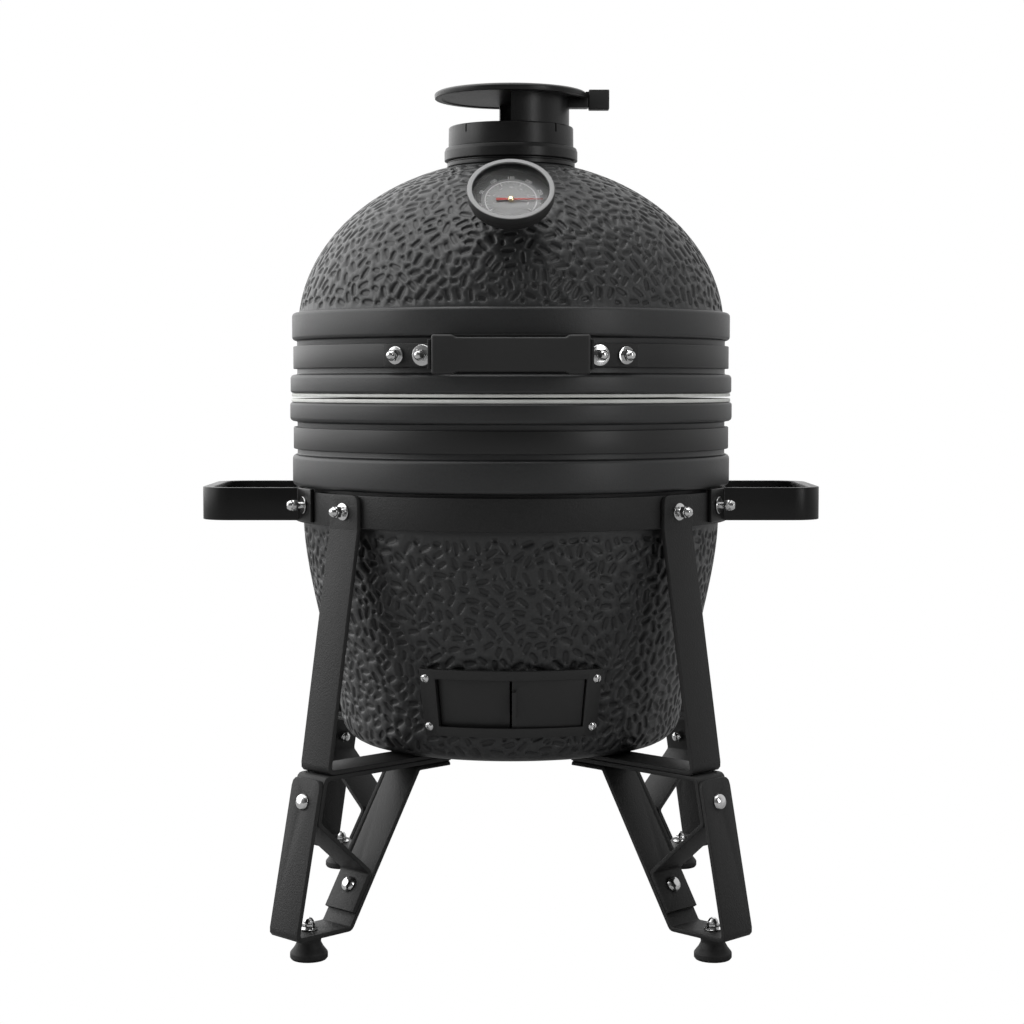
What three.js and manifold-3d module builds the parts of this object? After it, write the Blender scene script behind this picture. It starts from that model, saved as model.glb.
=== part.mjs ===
// A kamado ceramic grill on a four-legged stand. Millimetres, +Z up.
// The origin is on the floor under the centre of the bowl. The front, which carries
// the lift handle, the thermometer and the draft door, faces -Y.

import * as THREE from 'three';
import { mergeVertices } from 'three/addons/utils/BufferGeometryUtils.js';
import Module from 'manifold-3d';

const wasm = await Module();
wasm.setup();

// ---- Clearances and mesh steps ----
const GAP = 0.3;                // between pieces that rest on each other
const TRACK_GAP = 1;            // between sliding draft panels and what is beside them
const ROUND = 48;               // facets of the large rings and shells
const MEDIUM_ROUND = 24;        // facets of the cap, the fire box and pins
const SMALL_ROUND = 16;         // facets of the gauge
const BOLT_ROUND = 8;           // facets of fasteners
const BEND_STEPS = 3;           // facets of a bend or a corner

// ---- Stand ----
const STAND_H = 176;            // floor to the top of the arms that carry the bowl
const BAR_T = 4.4;              // flat bar thickness
const BAR_W = 40;               // flat bar width
const BEND_R = 3;               // inside radius of every bend
const TAB_H = 32;               // straight tab of an upper leg on the ring
const CORNER_R = 8;             // rounded corners of plate ends
const KNEE_OUT = 37;            // how far the upper leg splays out below its tab
const ARM_TIP_R = 102;          // inner end of the arms
const PLATE_OUT = 8.5;          // foot strap plate beyond the knee, at its top
const PLATE_DROP = 7.7;         // top of the foot strap plate below the arm's top
const TOE_OUT = 30.3;           // how far the foot strap plate splays out
const FOOT_PLATE_Z = 22.8;      // underside of the foot plate
const FOOT_PLATE_L = 67.7;      // length of the foot plate
const STRAP_RUN = 86;           // how far the inner strap leans in towards the bowl
const DROP_H = 44;              // bracket's drop behind the foot strap plate
const STRUT_H = 54;             // height of the bracket's diagonal
const STRUT_TAB_H = 33;         // bracket's lower tab on the inner strap
const OUTER_BOLT_DOWN = 24;     // outer bolt below the bracket's plate
const INNER_BOLT_UP = 21;       // inner bolt above the lower end of the strut tab
const FOOT_IN = 32;             // foot's centre inwards from the toe
const FOOT_R = 17.5;            // rubber foot
const FOOT_H = 16;
const FOOT_EDGE = [2.5, 3];     // across and up the rounded edge of a foot
const FOOT_SIDE_H = 8.8;        // straight side of a foot, below its taper
const FOOT_NECK_R = 8.8;
const LEG_SIDES = { fl: -135, fr: -45, br: 45, bl: 135 };

// ---- Fasteners ----
const SHANK_R = 3;
const HOLE_R = 3.4;
const HEAD_R = 7.7;
const HEAD_TOP_R = 5.4;
const HEAD_H = 5;
const NUT_R = 5.8;
const NUT_H = 5;
const THIN_NUT_H = 3;           // between the stand ring and the bowl
const WASHER_R = 8.1;
const WASHER_T = 1.6;
const STUD_OUT = 5;            // bare thread of a ring bolt, out to its acorn nut
const ACORN_TOP_R = 3;
const ACORN_H = 11;

// ---- Ceramic bowl ----
const RIM_R = 219.3;            // outer radius of the base's top lip
const WALL = 24;                // bowl wall
const FLOOR_T = 17.7;           // bowl floor
const FOOT_RING_H = 8;
const FOOT_RING_IN = 125;
const FOOT_CORNER = 28;         // rounded corner under the bowl
const WAIST_STEP = 12.9;        // top of the dimpled bowl, inside the rim radius
const BOWL_BOTTOM_R = 170;      // just above the rounded corner
const BOWL_SWELL = [[0.27, 0.31], [0.96, 0.72]];  // shares of its swell and rise that shape the side
const BOWL_H = 217.3;           // underside of the bowl to the underside of the stand ring
const THICK_LIP_STEP = 2.3;
const THICK_LIP_H = 30.5;
const GROOVE_STEP = 7.1;        // band grooves, inside the rim radius
const LIP_GAP = 5.7;            // bare groove above and below a band
const BASE_LIP_H = 18.5;

// ---- Bands, ring and seals ----
const RING_H = 30.7;
const RING_T = 4;
const RING_STEP = 3.8;          // outside of the stand ring, inside the rim radius
const RING_MARGIN = 3.4;        // bare bowl above and below the stand ring
const LOWER_BAND_H = 21.2;
const UPPER_BAND_H = 22;
const BAND_T = 3.5;
const SEAL_H = 4.1;
const SEAL_STEP = 1.6;
const SEAL_W = 22;

// ---- Ceramic lid ----
const LID_LIP_STEP = 0.5;
const LID_LIP_H = 18;
const SHOULDER_STEP = 2.3;
const SHOULDER_H = 27;
const SHOULDER_CHAMFER = 3;
const DOME_STEP = 8.3;          // dome's largest radius, inside the rim radius
const DOME_RISE = 167;          // dome's rise above its widest circle
const DOME_SINK = 16;           // widest circle below the top of the shoulder
const DOME_WALL_TOP = 24;
const NECK_R = 66;              // raised land under the cap
const NECK_LAND = 2.1;
const CHIMNEY_R = 44;

// ---- Cap ----
const CAP_BASE_H = 24;
const CAP_BASE_R = 65.9;
const CAP_PLATE_T = 4;
const CAP_BASE_SLOPE = 1.9;     // the base's foot inside its widest part
const CAP_BASE_WIDE = [9, 18];  // heights between which the base is widest
const CAP_EDGE = 1;             // chamfer round the top of a cap ring
const SCALE_EDGE_H = 2;
const SCALE_R = 61.9;
const SCALE_T = 4;
const SCALE_H = 17.7;
const HOOD_WALL = 4;
const HOOD_H = 43;              // hood from its floor to the underside of its disc
const HOOD_DISC_R = 75.8;
const HOOD_DISC_T = 8;
const HOOD_RIM_W = 7;
const HOOD_RIM_DROP = 1;        // rim below the underside of the disc
const HOOD_RIM_H = 5;
const HOOD_RIM_EDGE = 1.5;
const HOOD_SPAN = 192;          // degrees of hood wall, from the front round the right side
const KNOB_L = 20.2;
const KNOB_GAP = 1;             // between the disc and the knob's block
const KNOB_W = 16;
const KNOB_H = 19;

// ---- Inside ----
const CHAMBER_GAP = 4;          // fire ring to the bowl's wall, and grate to the fire box
const FIRE_BOX_INSET = 4.5;     // top of the fire box inside the outside of the fire ring
const FIRE_BOX_H = 169;
const FIRE_BOX_WALL = 18;
const LEDGE_Z = 60;             // grate ledge above the foot of the fire box
const LEDGE_W = 20;
const GRATE_T = 8;
const GRATE_SLOT_W = 12;
const GRATE_SLOT_PITCH = 26;
const FIRE_RING_H = 75;
const FIRE_RING_T = 24;
const GRID_INSET = 10.5;        // edge of the grid inside the outside of the fire ring
const GRID_WIRE = 6;
const GRID_PITCH = 30;

// ---- Draft door ----
const DRAFT_Z = 27.8;           // bottom of the frame above the bowl's underside
const DRAFT_H = 63.6;
const DRAFT_RAIL = 7;
const DRAFT_HALF = 26.4;         // degrees from the front to the end of the frame
const DRAFT_DOOR_HALF = 21.4;
const DRAFT_DEPTH = 8;
const DRAFT_LIP = 1.6;
const DRAFT_LIP_H = 2;
const DOOR_T = 1.8;
const PULL_H = 25;
const PULL_OUT = 12;
const PULL_TURN = 1.5;          // degrees taken up by the pull tab
const PORT_MARGIN = 4;          // port inside the frame's rails, top and bottom
const PORT_SIDE = 1.4;          // degrees from the end of a door to the side of the port

// ---- Lift handle ----
const GRIP_OUT = 45.7;          // front of the grip beyond the rim
const GRIP_D = 22;
const GRIP_H = 34.6;
const GRIP_WAIST = 2.3;
const GRIP_BLOCK = 18.8;
const GRIP_HALF = 69.5;
const GRIP_ARM_T = 3;
const GRIP_ARM_H = 26.5;
const GRIP_ARM_BACK = 3;        // arm ends behind the front of the grip
const FLANGE_T = 3;
const FLANGE_MARGIN = 0.5;
const GRIP_FLANGE_END = 32;     // degrees

// ---- Side handles ----
const SIDE_OUT = 81.7;          // end of a side handle beyond the rim
const SIDE_HALF = 74;           // middle of the arms from the grill's axis
const SIDE_T = 5;
const SIDE_H = 31.7;
const SIDE_CORNER = 28;
const SIDE_FLANGE = 11;         // degrees of ring that a flange wraps
const SIDE_FLANGE_T = 4;
const SIDE_RAISE = 2.7;         // handle above the ring's centre line

// ---- Thermometer ----
const GAUGE_TILT = 48;          // degrees from straight up
const GAUGE_R = 39.5;
const GAUGE_STANDOFF = 17;
const GAUGE_DEPTH = 20;
const GAUGE_WALL = 1.5;
const BEZEL_LIP = 6;
const BEZEL_T = 1.7;
const GLASS_T = 1.6;
const DIAL_T = 1;
const NEEDLE_T = 0.8;
const NEEDLE_TIP = 28;
const NEEDLE_TAIL = 13;
const HUB_R = 3.2;
const NEEDLE_W = 3.2;           // across the needle's tail
const NEEDLE_TIP_W = 0.8;
const GAUGE_NUT_R = 11;
const STEM_R = 3;
const STEM_L = 62;

// ---- Hinge ----
const EAR_R = 14;
const EAR_LEAN = 30;            // degrees from level at which an ear's round end meets its edge
const EAR_T = 4;
const PIN_R = 4;
const PIN_HOLE_R = 4.1;
const PIN_HEAD_R = 6.5;
const PIN_HEAD_T = 3;
const HINGE_HALF = 42;          // outside of the lower ears
const EAR_GAP = 3;              // between a lower and an upper ear
const SPRING_R = 9;
const SPRING_WIRE = 3;
const HINGE_WRAP = 14;          // degrees each way
const EAR_FOOT = 19;            // depth of an ear where it leaves its band

// ---- Places that follow from the sizes ----
const bowlFoot = STAND_H + GAP;
const ringLow = bowlFoot + BOWL_H + RING_MARGIN - GAP;
const ringHigh = ringLow + RING_H;
const thickLipLow = ringHigh + RING_MARGIN;
const thickLipHigh = thickLipLow + THICK_LIP_H;
const lowerBandLow = thickLipHigh + LIP_GAP;
const lowerBandHigh = lowerBandLow + LOWER_BAND_H;
const baseLipLow = lowerBandHigh + LIP_GAP;
const rimTop = baseLipLow + BASE_LIP_H;
const sealTop = rimTop + GAP + SEAL_H;
const lidFoot = sealTop + GAP + SEAL_H + GAP;
const lidLipHigh = lidFoot + LID_LIP_H;
const upperBandLow = lidLipHigh + LIP_GAP;
const upperBandHigh = upperBandLow + UPPER_BAND_H;
const shoulderLow = upperBandHigh + LIP_GAP;
const shoulderHigh = shoulderLow + SHOULDER_H;

const grooveR = RIM_R - GROOVE_STEP;
const bandIn = grooveR + GAP;
const bandOut = bandIn + BAND_T;
const ringOut = RIM_R - RING_STEP;
const ringIn = ringOut - RING_T;
const waistR = RIM_R - WAIST_STEP;
const innerR = waistR - WALL;

const domeR = RIM_R - DOME_STEP;
const domeZ = shoulderHigh - DOME_SINK;
const neckTop = domeHeight(NECK_R) + NECK_LAND;
const capFoot = neckTop + GAP;
const capTop = capFoot + CAP_BASE_H;
const hoodFoot = capTop + GAP;
const hoodWallR = SCALE_R - SCALE_T - GAP;
const hoodDiscZ = hoodFoot + HOOD_H;

const tabOut = ringOut + GAP + BAR_T;
const kneeR = tabOut + KNEE_OUT;
const armLow = STAND_H - BAR_T;
const bracketTop = armLow - GAP;
const strapTop = bracketTop - BAR_T - GAP;
const plateTop = [kneeR + PLATE_OUT, STAND_H - PLATE_DROP];
const toe = [plateTop[0] + TOE_OUT, FOOT_PLATE_Z];
const heel = [toe[0] - FOOT_PLATE_L, FOOT_PLATE_Z];
const strapBend = [heel[0] - STRAP_RUN, strapTop - BAR_T];

const fireBoxFoot = bowlFoot + FOOT_RING_H + FLOOR_T + GAP;
const fireBoxTop = fireBoxFoot + FIRE_BOX_H;
const ledgeTop = fireBoxFoot + LEDGE_Z;
const fireRingFoot = fireBoxTop + GAP;
const gridFoot = fireRingFoot + FIRE_RING_H + GAP;
const fireRingOut = bowlRadius(fireRingFoot) - WALL - CHAMBER_GAP;
const gridR = fireRingOut - GRID_INSET;
const fireBoxR = BOWL_BOTTOM_R - WALL - 2 * CHAMBER_GAP;
const fireBoxTopR = fireRingOut - FIRE_BOX_INSET;

const draftLow = bowlFoot + DRAFT_Z;
const draftHigh = draftLow + DRAFT_H;
const gripFront = RIM_R + GRIP_OUT;
const sideReach = RIM_R + SIDE_OUT;
const hingeY = gripFront - EAR_R;
const hingeZ = sealTop;

// ---- Finishes ----
const finishes = {
  ceramic: new THREE.MeshStandardMaterial({ color: 0x3b3b3d, roughness: 0.45, metalness: 0 }),
  firebrick: new THREE.MeshStandardMaterial({ color: 0xb89f80, roughness: 0.95, metalness: 0 }),
  powder: new THREE.MeshStandardMaterial({ color: 0x2d2d2f, roughness: 0.6, metalness: 0.3 }),
  band: new THREE.MeshStandardMaterial({ color: 0x232325, roughness: 0.5, metalness: 0.4 }),
  blackSteel: new THREE.MeshStandardMaterial({ color: 0x101011, roughness: 0.45, metalness: 0.4 }),
  cast: new THREE.MeshStandardMaterial({ color: 0x161617, roughness: 0.55, metalness: 0.5 }),
  felt: new THREE.MeshStandardMaterial({ color: 0xb9bfae, roughness: 1, metalness: 0 }),
  bright: new THREE.MeshStandardMaterial({ color: 0xc9cacc, roughness: 0.2, metalness: 1 }),
  rubber: new THREE.MeshStandardMaterial({ color: 0x161616, roughness: 0.85, metalness: 0 }),
  grip: new THREE.MeshStandardMaterial({ color: 0x2a2a2c, roughness: 0.8, metalness: 0 }),
  satin: new THREE.MeshStandardMaterial({ color: 0x9b9c9d, roughness: 0.35, metalness: 0.9 }),
  dial: new THREE.MeshStandardMaterial({ color: 0x8d9092, roughness: 0.5, metalness: 0.3 }),
  needle: new THREE.MeshStandardMaterial({ color: 0xb3171c, roughness: 0.4, metalness: 0 }),
  glass: new THREE.MeshStandardMaterial({
    color: 0xe8eef0, roughness: 0.05, metalness: 0, transparent: true, opacity: 0.3,
  }),
};

// ---- Helpers for shapes ----

function radians(degrees) {
  return THREE.MathUtils.degToRad(degrees);
}

// Height of the dome's outside at a radius.
function domeHeight(radius) {
  return domeZ + DOME_RISE * Math.sqrt(1 - (radius / domeR) ** 2);
}

// A closed mesh as a solid for cutting and joining.
function solid(geometry) {
  const bare = geometry.clone();
  bare.deleteAttribute('normal');
  bare.deleteAttribute('uv');
  const merged = mergeVertices(bare, 1e-4);
  const corners = merged.index.array;
  const kept = [];
  for (let i = 0; i < corners.length; i += 3) {
    const [a, b, c] = [corners[i], corners[i + 1], corners[i + 2]];
    if (a !== b && b !== c && c !== a) {
      kept.push(a, b, c);
    }
  }
  return new wasm.Manifold(new wasm.Mesh({
    numProp: 3,
    vertProperties: new Float32Array(merged.attributes.position.array),
    triVerts: new Uint32Array(kept),
  }));
}

function surface(body) {
  const mesh = body.getMesh();
  const geometry = new THREE.BufferGeometry();
  geometry.setAttribute('position', new THREE.BufferAttribute(mesh.vertProperties, 3));
  geometry.setIndex(new THREE.BufferAttribute(mesh.triVerts, 1));
  geometry.computeVertexNormals();
  return geometry;
}

function cut(geometry, ...tools) {
  return surface(tools.reduce((body, tool) => body.subtract(solid(tool)), solid(geometry)));
}

function join(...geometries) {
  return surface(geometries.map(solid).reduce((body, next) => body.add(next)));
}

function common(first, second) {
  return surface(solid(first).intersect(solid(second)));
}

// A profile of [radius, height] points, anticlockwise, turned about the grill's axis.
function lathe(profile, facets = ROUND) {
  const points = profile.map(([r, z]) => new THREE.Vector2(r, z));
  points.push(points[0].clone());
  const geometry = new THREE.LatheGeometry(points, facets);
  geometry.rotateX(Math.PI / 2);
  return geometry;
}

function ring(inner, outer, low, high, facets = ROUND) {
  return lathe([[inner, low], [outer, low], [outer, high], [inner, high]], facets);
}

function disc(radius, low, high, facets = MEDIUM_ROUND) {
  return lathe([[0, low], [radius, low], [radius, high], [0, high]], facets);
}

// A flat outline in X and Y, raised from one height to another.
function prism(shape, low, high) {
  const options = { depth: high - low, bevelEnabled: false, curveSegments: BEND_STEPS };
  const geometry = new THREE.ExtrudeGeometry(shape, options);
  geometry.translate(0, 0, low);
  return geometry;
}

function outline(points) {
  return new THREE.Shape(points.map(([x, y]) => new THREE.Vector2(x, y)));
}

// The space between two directions, in degrees from the front towards +X.
function wedge(from, to, reach, low, high) {
  const steps = Math.ceil((to - from) / 30);
  const points = [[0, 0]];
  for (let i = 0; i <= steps; i += 1) {
    const angle = radians(from + (to - from) * i / steps);
    points.push([reach * Math.sin(angle), -reach * Math.cos(angle)]);
  }
  return prism(outline(points), low, high);
}

// The part of a turned profile that lies between two directions.
function sector(profile, from, to, facets = ROUND) {
  const heights = profile.map((point) => point[1]);
  const reach = 2 * Math.max(...profile.map((point) => point[0]));
  const space = wedge(from, to, reach, Math.min(...heights) - 1, Math.max(...heights) + 1);
  return common(lathe(profile, facets), space);
}

// A round tool or rod along a direction in the X-Z plane, given from +X towards +Z.
function rod(radius, length, x, z, degrees, facets = MEDIUM_ROUND) {
  const geometry = disc(radius, -length / 2, length / 2, facets);
  geometry.rotateY(radians(90 - degrees));
  geometry.translate(x, 0, z);
  return geometry;
}

// The corners of an open path, rounded. Right-hand and left-hand bends have their own radii.
function roundedPath(points, rightHand, leftHand) {
  const path = points.map(([x, y]) => new THREE.Vector2(x, y));
  const rounded = [path[0]];
  for (let i = 1; i < path.length - 1; i += 1) {
    const back = path[i - 1].clone().sub(path[i]).normalize();
    const ahead = path[i + 1].clone().sub(path[i]).normalize();
    const half = Math.acos(back.dot(ahead)) / 2;
    const radius = back.cross(ahead) > 0 ? rightHand : leftHand;
    const reach = radius / Math.tan(half);
    const start = path[i].clone().addScaledVector(back, reach);
    const end = path[i].clone().addScaledVector(ahead, reach);
    rounded.push(...new THREE.QuadraticBezierCurve(start, path[i], end).getPoints(BEND_STEPS));
  }
  rounded.push(path[path.length - 1]);
  return rounded;
}

// A path moved to its right, with mitred corners.
function toTheRight(points, distance) {
  const sides = [];
  for (let i = 0; i < points.length - 1; i += 1) {
    const along = new THREE.Vector2(points[i + 1][0] - points[i][0], points[i + 1][1] - points[i][1]);
    along.normalize();
    sides.push(new THREE.Vector2(along.y, -along.x));
  }
  return points.map(([x, y], i) => {
    const before = sides[Math.max(i - 1, 0)];
    const after = sides[Math.min(i, sides.length - 1)];
    const share = distance / (1 + before.dot(after));
    return [x + share * (before.x + after.x), y + share * (before.y + after.y)];
  });
}

// A flat bar bent in the X-Z plane. The path follows its left face.
function bentBar(face) {
  const left = roundedPath(face, BEND_R + BAR_T, BEND_R);
  const right = roundedPath(toTheRight(face, BAR_T), BEND_R, BEND_R + BAR_T);
  const geometry = prism(new THREE.Shape([...left, ...right.reverse()]), -BAR_W / 2, BAR_W / 2);
  geometry.rotateX(Math.PI / 2);
  return geometry;
}

// The space in front of a bar whose upper corners are rounded off.
function roundedTop(top, reach) {
  const half = BAR_W / 2;
  const shape = new THREE.Shape();
  shape.moveTo(-half - 1, -1);
  shape.lineTo(half + 1, -1);
  shape.lineTo(half + 1, top - CORNER_R - 1);
  shape.lineTo(half, top - CORNER_R - 1);
  shape.lineTo(half, top - CORNER_R);
  shape.quadraticCurveTo(half, top, half - CORNER_R, top);
  shape.lineTo(-half + CORNER_R, top);
  shape.quadraticCurveTo(-half, top, -half, top - CORNER_R);
  shape.lineTo(-half, top - CORNER_R - 1);
  shape.lineTo(-half - 1, top - CORNER_R - 1);
  const geometry = prism(shape, 0, reach);
  geometry.rotateX(Math.PI / 2);
  geometry.rotateZ(Math.PI / 2);
  return geometry;
}

// A bolt with a dome head on one side of a grip length and its nut on the other.
function fastener(grip) {
  return lathe([
    [0, -grip - GAP - NUT_H],
    [NUT_R, -grip - GAP - NUT_H],
    [NUT_R, -grip - GAP],
    [SHANK_R, -grip - GAP],
    [SHANK_R, GAP],
    [HEAD_R, GAP],
    [HEAD_TOP_R, GAP + HEAD_H],
    [0, GAP + HEAD_H],
  ], BOLT_ROUND);
}

// A stud held by a thin nut behind a grip length, with a washer and an acorn nut standing off in front.
function ringStud(grip) {
  const washerOut = GAP + WASHER_T;
  const acornOut = STUD_OUT + ACORN_H;
  return lathe([
    [0, -grip - GAP - THIN_NUT_H],
    [NUT_R, -grip - GAP - THIN_NUT_H],
    [NUT_R, -grip - GAP],
    [SHANK_R, -grip - GAP],
    [SHANK_R, GAP],
    [WASHER_R, GAP],
    [WASHER_R, washerOut],
    [SHANK_R, washerOut],
    [SHANK_R, STUD_OUT],
    [NUT_R, STUD_OUT],
    [NUT_R, STUD_OUT + NUT_H],
    [ACORN_TOP_R, acornOut - 1],
    [0, acornOut],
  ], BOLT_ROUND);
}

const grill = new THREE.Group();

function add(name, geometry, finish, parent = grill) {
  const mesh = new THREE.Mesh(geometry, finish);
  mesh.name = name;
  parent.add(mesh);
  return mesh;
}

// ---- Ceramic base ----

// The dimpled side of the bowl, from its rounded corner to the ring, moved in by a distance.
function bowlSide(inset) {
  const low = bowlFoot + FOOT_CORNER;
  const high = ringLow - RING_MARGIN + GAP;
  const rise = high - low;
  const swell = waistR - BOWL_BOTTOM_R;
  return new THREE.CubicBezierCurve(
    new THREE.Vector2(BOWL_BOTTOM_R - inset, low),
    ...BOWL_SWELL.map(([out, up]) => new THREE.Vector2(BOWL_BOTTOM_R + out * swell - inset, low + up * rise)),
    new THREE.Vector2(waistR - inset, high),
  );
}

function bowlRadius(z) {
  const curve = bowlSide(0);
  let low = 0;
  let high = 1;
  for (let i = 0; i < 30; i += 1) {
    const middle = (low + high) / 2;
    if (curve.getPoint(middle).y < z) {
      low = middle;
    } else {
      high = middle;
    }
  }
  return curve.getPoint(low).x;
}

function baseProfile() {
  const floorTop = bowlFoot + FOOT_RING_H + FLOOR_T;
  const corner = new THREE.EllipseCurve(
    BOWL_BOTTOM_R - FOOT_CORNER, bowlFoot + FOOT_CORNER, FOOT_CORNER, FOOT_CORNER, -Math.PI / 2, 0);
  const outside = bowlSide(0).getPoints(5);
  const inside = bowlSide(WALL).getPoints(4).reverse();
  return [
    [0, bowlFoot + FOOT_RING_H],
    [FOOT_RING_IN, bowlFoot + FOOT_RING_H],
    [FOOT_RING_IN, bowlFoot],
    ...corner.getPoints(BEND_STEPS).slice(0, -1).map((point) => [point.x, point.y]),
    ...outside.map((point) => [point.x, point.y]),
    [waistR, thickLipLow],
    [RIM_R - THICK_LIP_STEP, thickLipLow],
    [RIM_R - THICK_LIP_STEP, thickLipHigh],
    [grooveR, thickLipHigh],
    [grooveR, baseLipLow],
    [RIM_R, baseLipLow],
    [RIM_R, rimTop],
    [innerR, rimTop],
    [innerR, thickLipLow],
    ...inside.map((point) => [point.x, point.y]),
    [BOWL_BOTTOM_R - WALL, floorTop],
    [0, floorTop],
  ];
}

// The air way through the wall behind the draft door.
function draftPort() {
  const low = draftLow + DRAFT_RAIL + PORT_MARGIN;
  const high = draftHigh - DRAFT_RAIL - PORT_MARGIN;
  const side = DRAFT_DOOR_HALF - PORT_SIDE;
  return wedge(-side, side, 2 * RIM_R, low, high);
}

function stemHole() {
  const geometry = disc(STEM_R + 1, -STEM_L, GAUGE_STANDOFF, BOLT_ROUND);
  geometry.rotateX(radians(GAUGE_TILT));
  geometry.translate(0, gaugePlace().y, gaugePlace().z);
  return geometry;
}

add('base_shell', cut(lathe(baseProfile()), draftPort()), finishes.ceramic);
add('base_gasket', ring(RIM_R - SEAL_STEP - SEAL_W, RIM_R - SEAL_STEP, rimTop + GAP, sealTop), finishes.felt);
add('lower_band', ring(bandIn, bandOut, lowerBandLow, lowerBandHigh), finishes.band);

function standRing() {
  const z = (ringLow + ringHigh) / 2;
  const holes = Object.values(LEG_SIDES).map((side) => {
    const hole = rod(HOLE_R, 6 * RING_T, ringOut - RING_T / 2, z, 0, BOLT_ROUND);
    hole.rotateZ(radians(side));
    return hole;
  });
  return cut(ring(ringIn, ringOut, ringLow, ringHigh), ...holes);
}
add('stand_ring', standRing(), finishes.powder);

// ---- Inside of the bowl ----

function fireBox() {
  const rise = (z) => fireBoxR + (fireBoxTopR - fireBoxR) * (z - fireBoxFoot) / FIRE_BOX_H;
  const ledgeR = rise(ledgeTop) - FIRE_BOX_WALL;
  const body = lathe([
    [ledgeR - LEDGE_W, fireBoxFoot],
    [fireBoxR, fireBoxFoot],
    [fireBoxTopR, fireBoxTop],
    [fireBoxTopR - FIRE_BOX_WALL, fireBoxTop],
    [ledgeR, ledgeTop],
    [ledgeR - LEDGE_W, ledgeTop],
  ], MEDIUM_ROUND);
  return cut(body, draftPort());
}

function charcoalGrate() {
  const ledgeR = fireBoxR + (fireBoxTopR - fireBoxR) * LEDGE_Z / FIRE_BOX_H - FIRE_BOX_WALL;
  const radius = ledgeR - CHAMBER_GAP;
  const low = ledgeTop + GAP;
  const count = Math.floor((radius - GRATE_SLOT_W) / GRATE_SLOT_PITCH);
  const slots = [];
  for (let i = -count; i <= count; i += 1) {
    const y = i * GRATE_SLOT_PITCH;
    const half = Math.sqrt((radius - GRATE_SLOT_W) ** 2 - y ** 2);
    const slot = new THREE.BoxGeometry(2 * half, GRATE_SLOT_W, 3 * GRATE_T);
    slot.translate(0, y, low);
    slots.push(slot);
  }
  return cut(disc(radius, low, low + GRATE_T), ...slots);
}

function cookingGrid() {
  const z = gridFoot + GRID_WIRE / 2;
  const count = Math.floor((gridR - GRID_WIRE) / GRID_PITCH);
  const bars = [ring(gridR - GRID_WIRE, gridR, gridFoot, gridFoot + GRID_WIRE, MEDIUM_ROUND)];
  for (let i = -count; i <= count; i += 1) {
    const x = i * GRID_PITCH;
    const length = 2 * Math.sqrt((gridR - GRID_WIRE / 2) ** 2 - x ** 2);
    const bar = new THREE.CylinderGeometry(GRID_WIRE / 2 - GAP, GRID_WIRE / 2 - GAP, length, 6);
    bar.translate(x, 0, z);
    bars.push(bar);
  }
  return join(...bars);
}

add('fire_box', fireBox(), finishes.firebrick);
add('charcoal_grate', charcoalGrate(), finishes.cast);
const fireRingHigh = fireRingFoot + FIRE_RING_H;
add('fire_ring', ring(fireRingOut - FIRE_RING_T, fireRingOut, fireRingFoot, fireRingHigh, MEDIUM_ROUND),
  finishes.firebrick);
add('cooking_grid', cookingGrid(), finishes.bright);

// ---- Draft door ----

// Distance of a track from the bowl, as a cone that stands clear of the bowl's side.
function onBowl(z, out) {
  const share = (z - draftLow) / DRAFT_H;
  const low = bowlRadius(draftLow);
  const high = bowlRadius(draftHigh);
  return low + (high - low) * share + TRACK_GAP + out;
}

function conePanel(from, to, low, high, near, far) {
  return sector([
    [onBowl(low, near), low],
    [onBowl(low, far), low],
    [onBowl(high, far), high],
    [onBowl(high, near), high],
  ], from, to);
}

function draftFrame() {
  const half = DRAFT_HALF;
  const inside = DRAFT_DOOR_HALF + GAP;
  const lowRail = draftLow + DRAFT_RAIL;
  const highRail = draftHigh - DRAFT_RAIL;
  const lip = DRAFT_DEPTH - DRAFT_LIP;
  return join(
    conePanel(-half, half, draftLow, lowRail, 0, DRAFT_DEPTH),
    conePanel(-half, half, highRail, draftHigh, 0, DRAFT_DEPTH),
    conePanel(-half, -inside, draftLow, draftHigh, 0, DRAFT_DEPTH),
    conePanel(inside, half, draftLow, draftHigh, 0, DRAFT_DEPTH),
    conePanel(-half, half, draftLow, lowRail + DRAFT_LIP_H, lip, DRAFT_DEPTH),
    conePanel(-half, half, highRail - DRAFT_LIP_H, draftHigh, lip, DRAFT_DEPTH),
  );
}

const doorLow = draftLow + DRAFT_RAIL + GAP;
const doorHigh = draftHigh - DRAFT_RAIL - GAP;
const outerTrack = DRAFT_DEPTH - DRAFT_LIP - TRACK_GAP - DOOR_T;
const innerTrack = outerTrack - TRACK_GAP - DOOR_T;

function pulledDoor() {
  const middle = (doorLow + doorHigh) / 2;
  const outside = outerTrack + DOOR_T;
  return join(
    conePanel(GAP, DRAFT_DOOR_HALF, doorLow, doorHigh, outerTrack, outside),
    conePanel(GAP, PULL_TURN, middle - PULL_H / 2, middle + PULL_H / 2, outside - DOOR_T / 2, PULL_OUT),
  );
}

add('draft_frame', draftFrame(), finishes.powder);
add('draft_door_right', pulledDoor(), finishes.powder);
add('draft_door_left', conePanel(-DRAFT_DOOR_HALF, -GAP, doorLow, doorHigh, innerTrack, innerTrack + DOOR_T),
  finishes.powder);

// ---- Legs ----

const plateRun = new THREE.Vector2(toe[0] - plateTop[0], toe[1] - plateTop[1]).normalize();
const strapRun = new THREE.Vector2(strapBend[0] - heel[0], strapBend[1] - heel[1]).normalize();

// The radius of a slanted face at a height.
function along(point, run, z) {
  return point[0] + (z - point[1]) * run.x / run.y;
}

// How far a slanted face moves sideways for a distance square to it.
function sideways(distance, run) {
  return distance / Math.abs(run.y);
}

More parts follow.
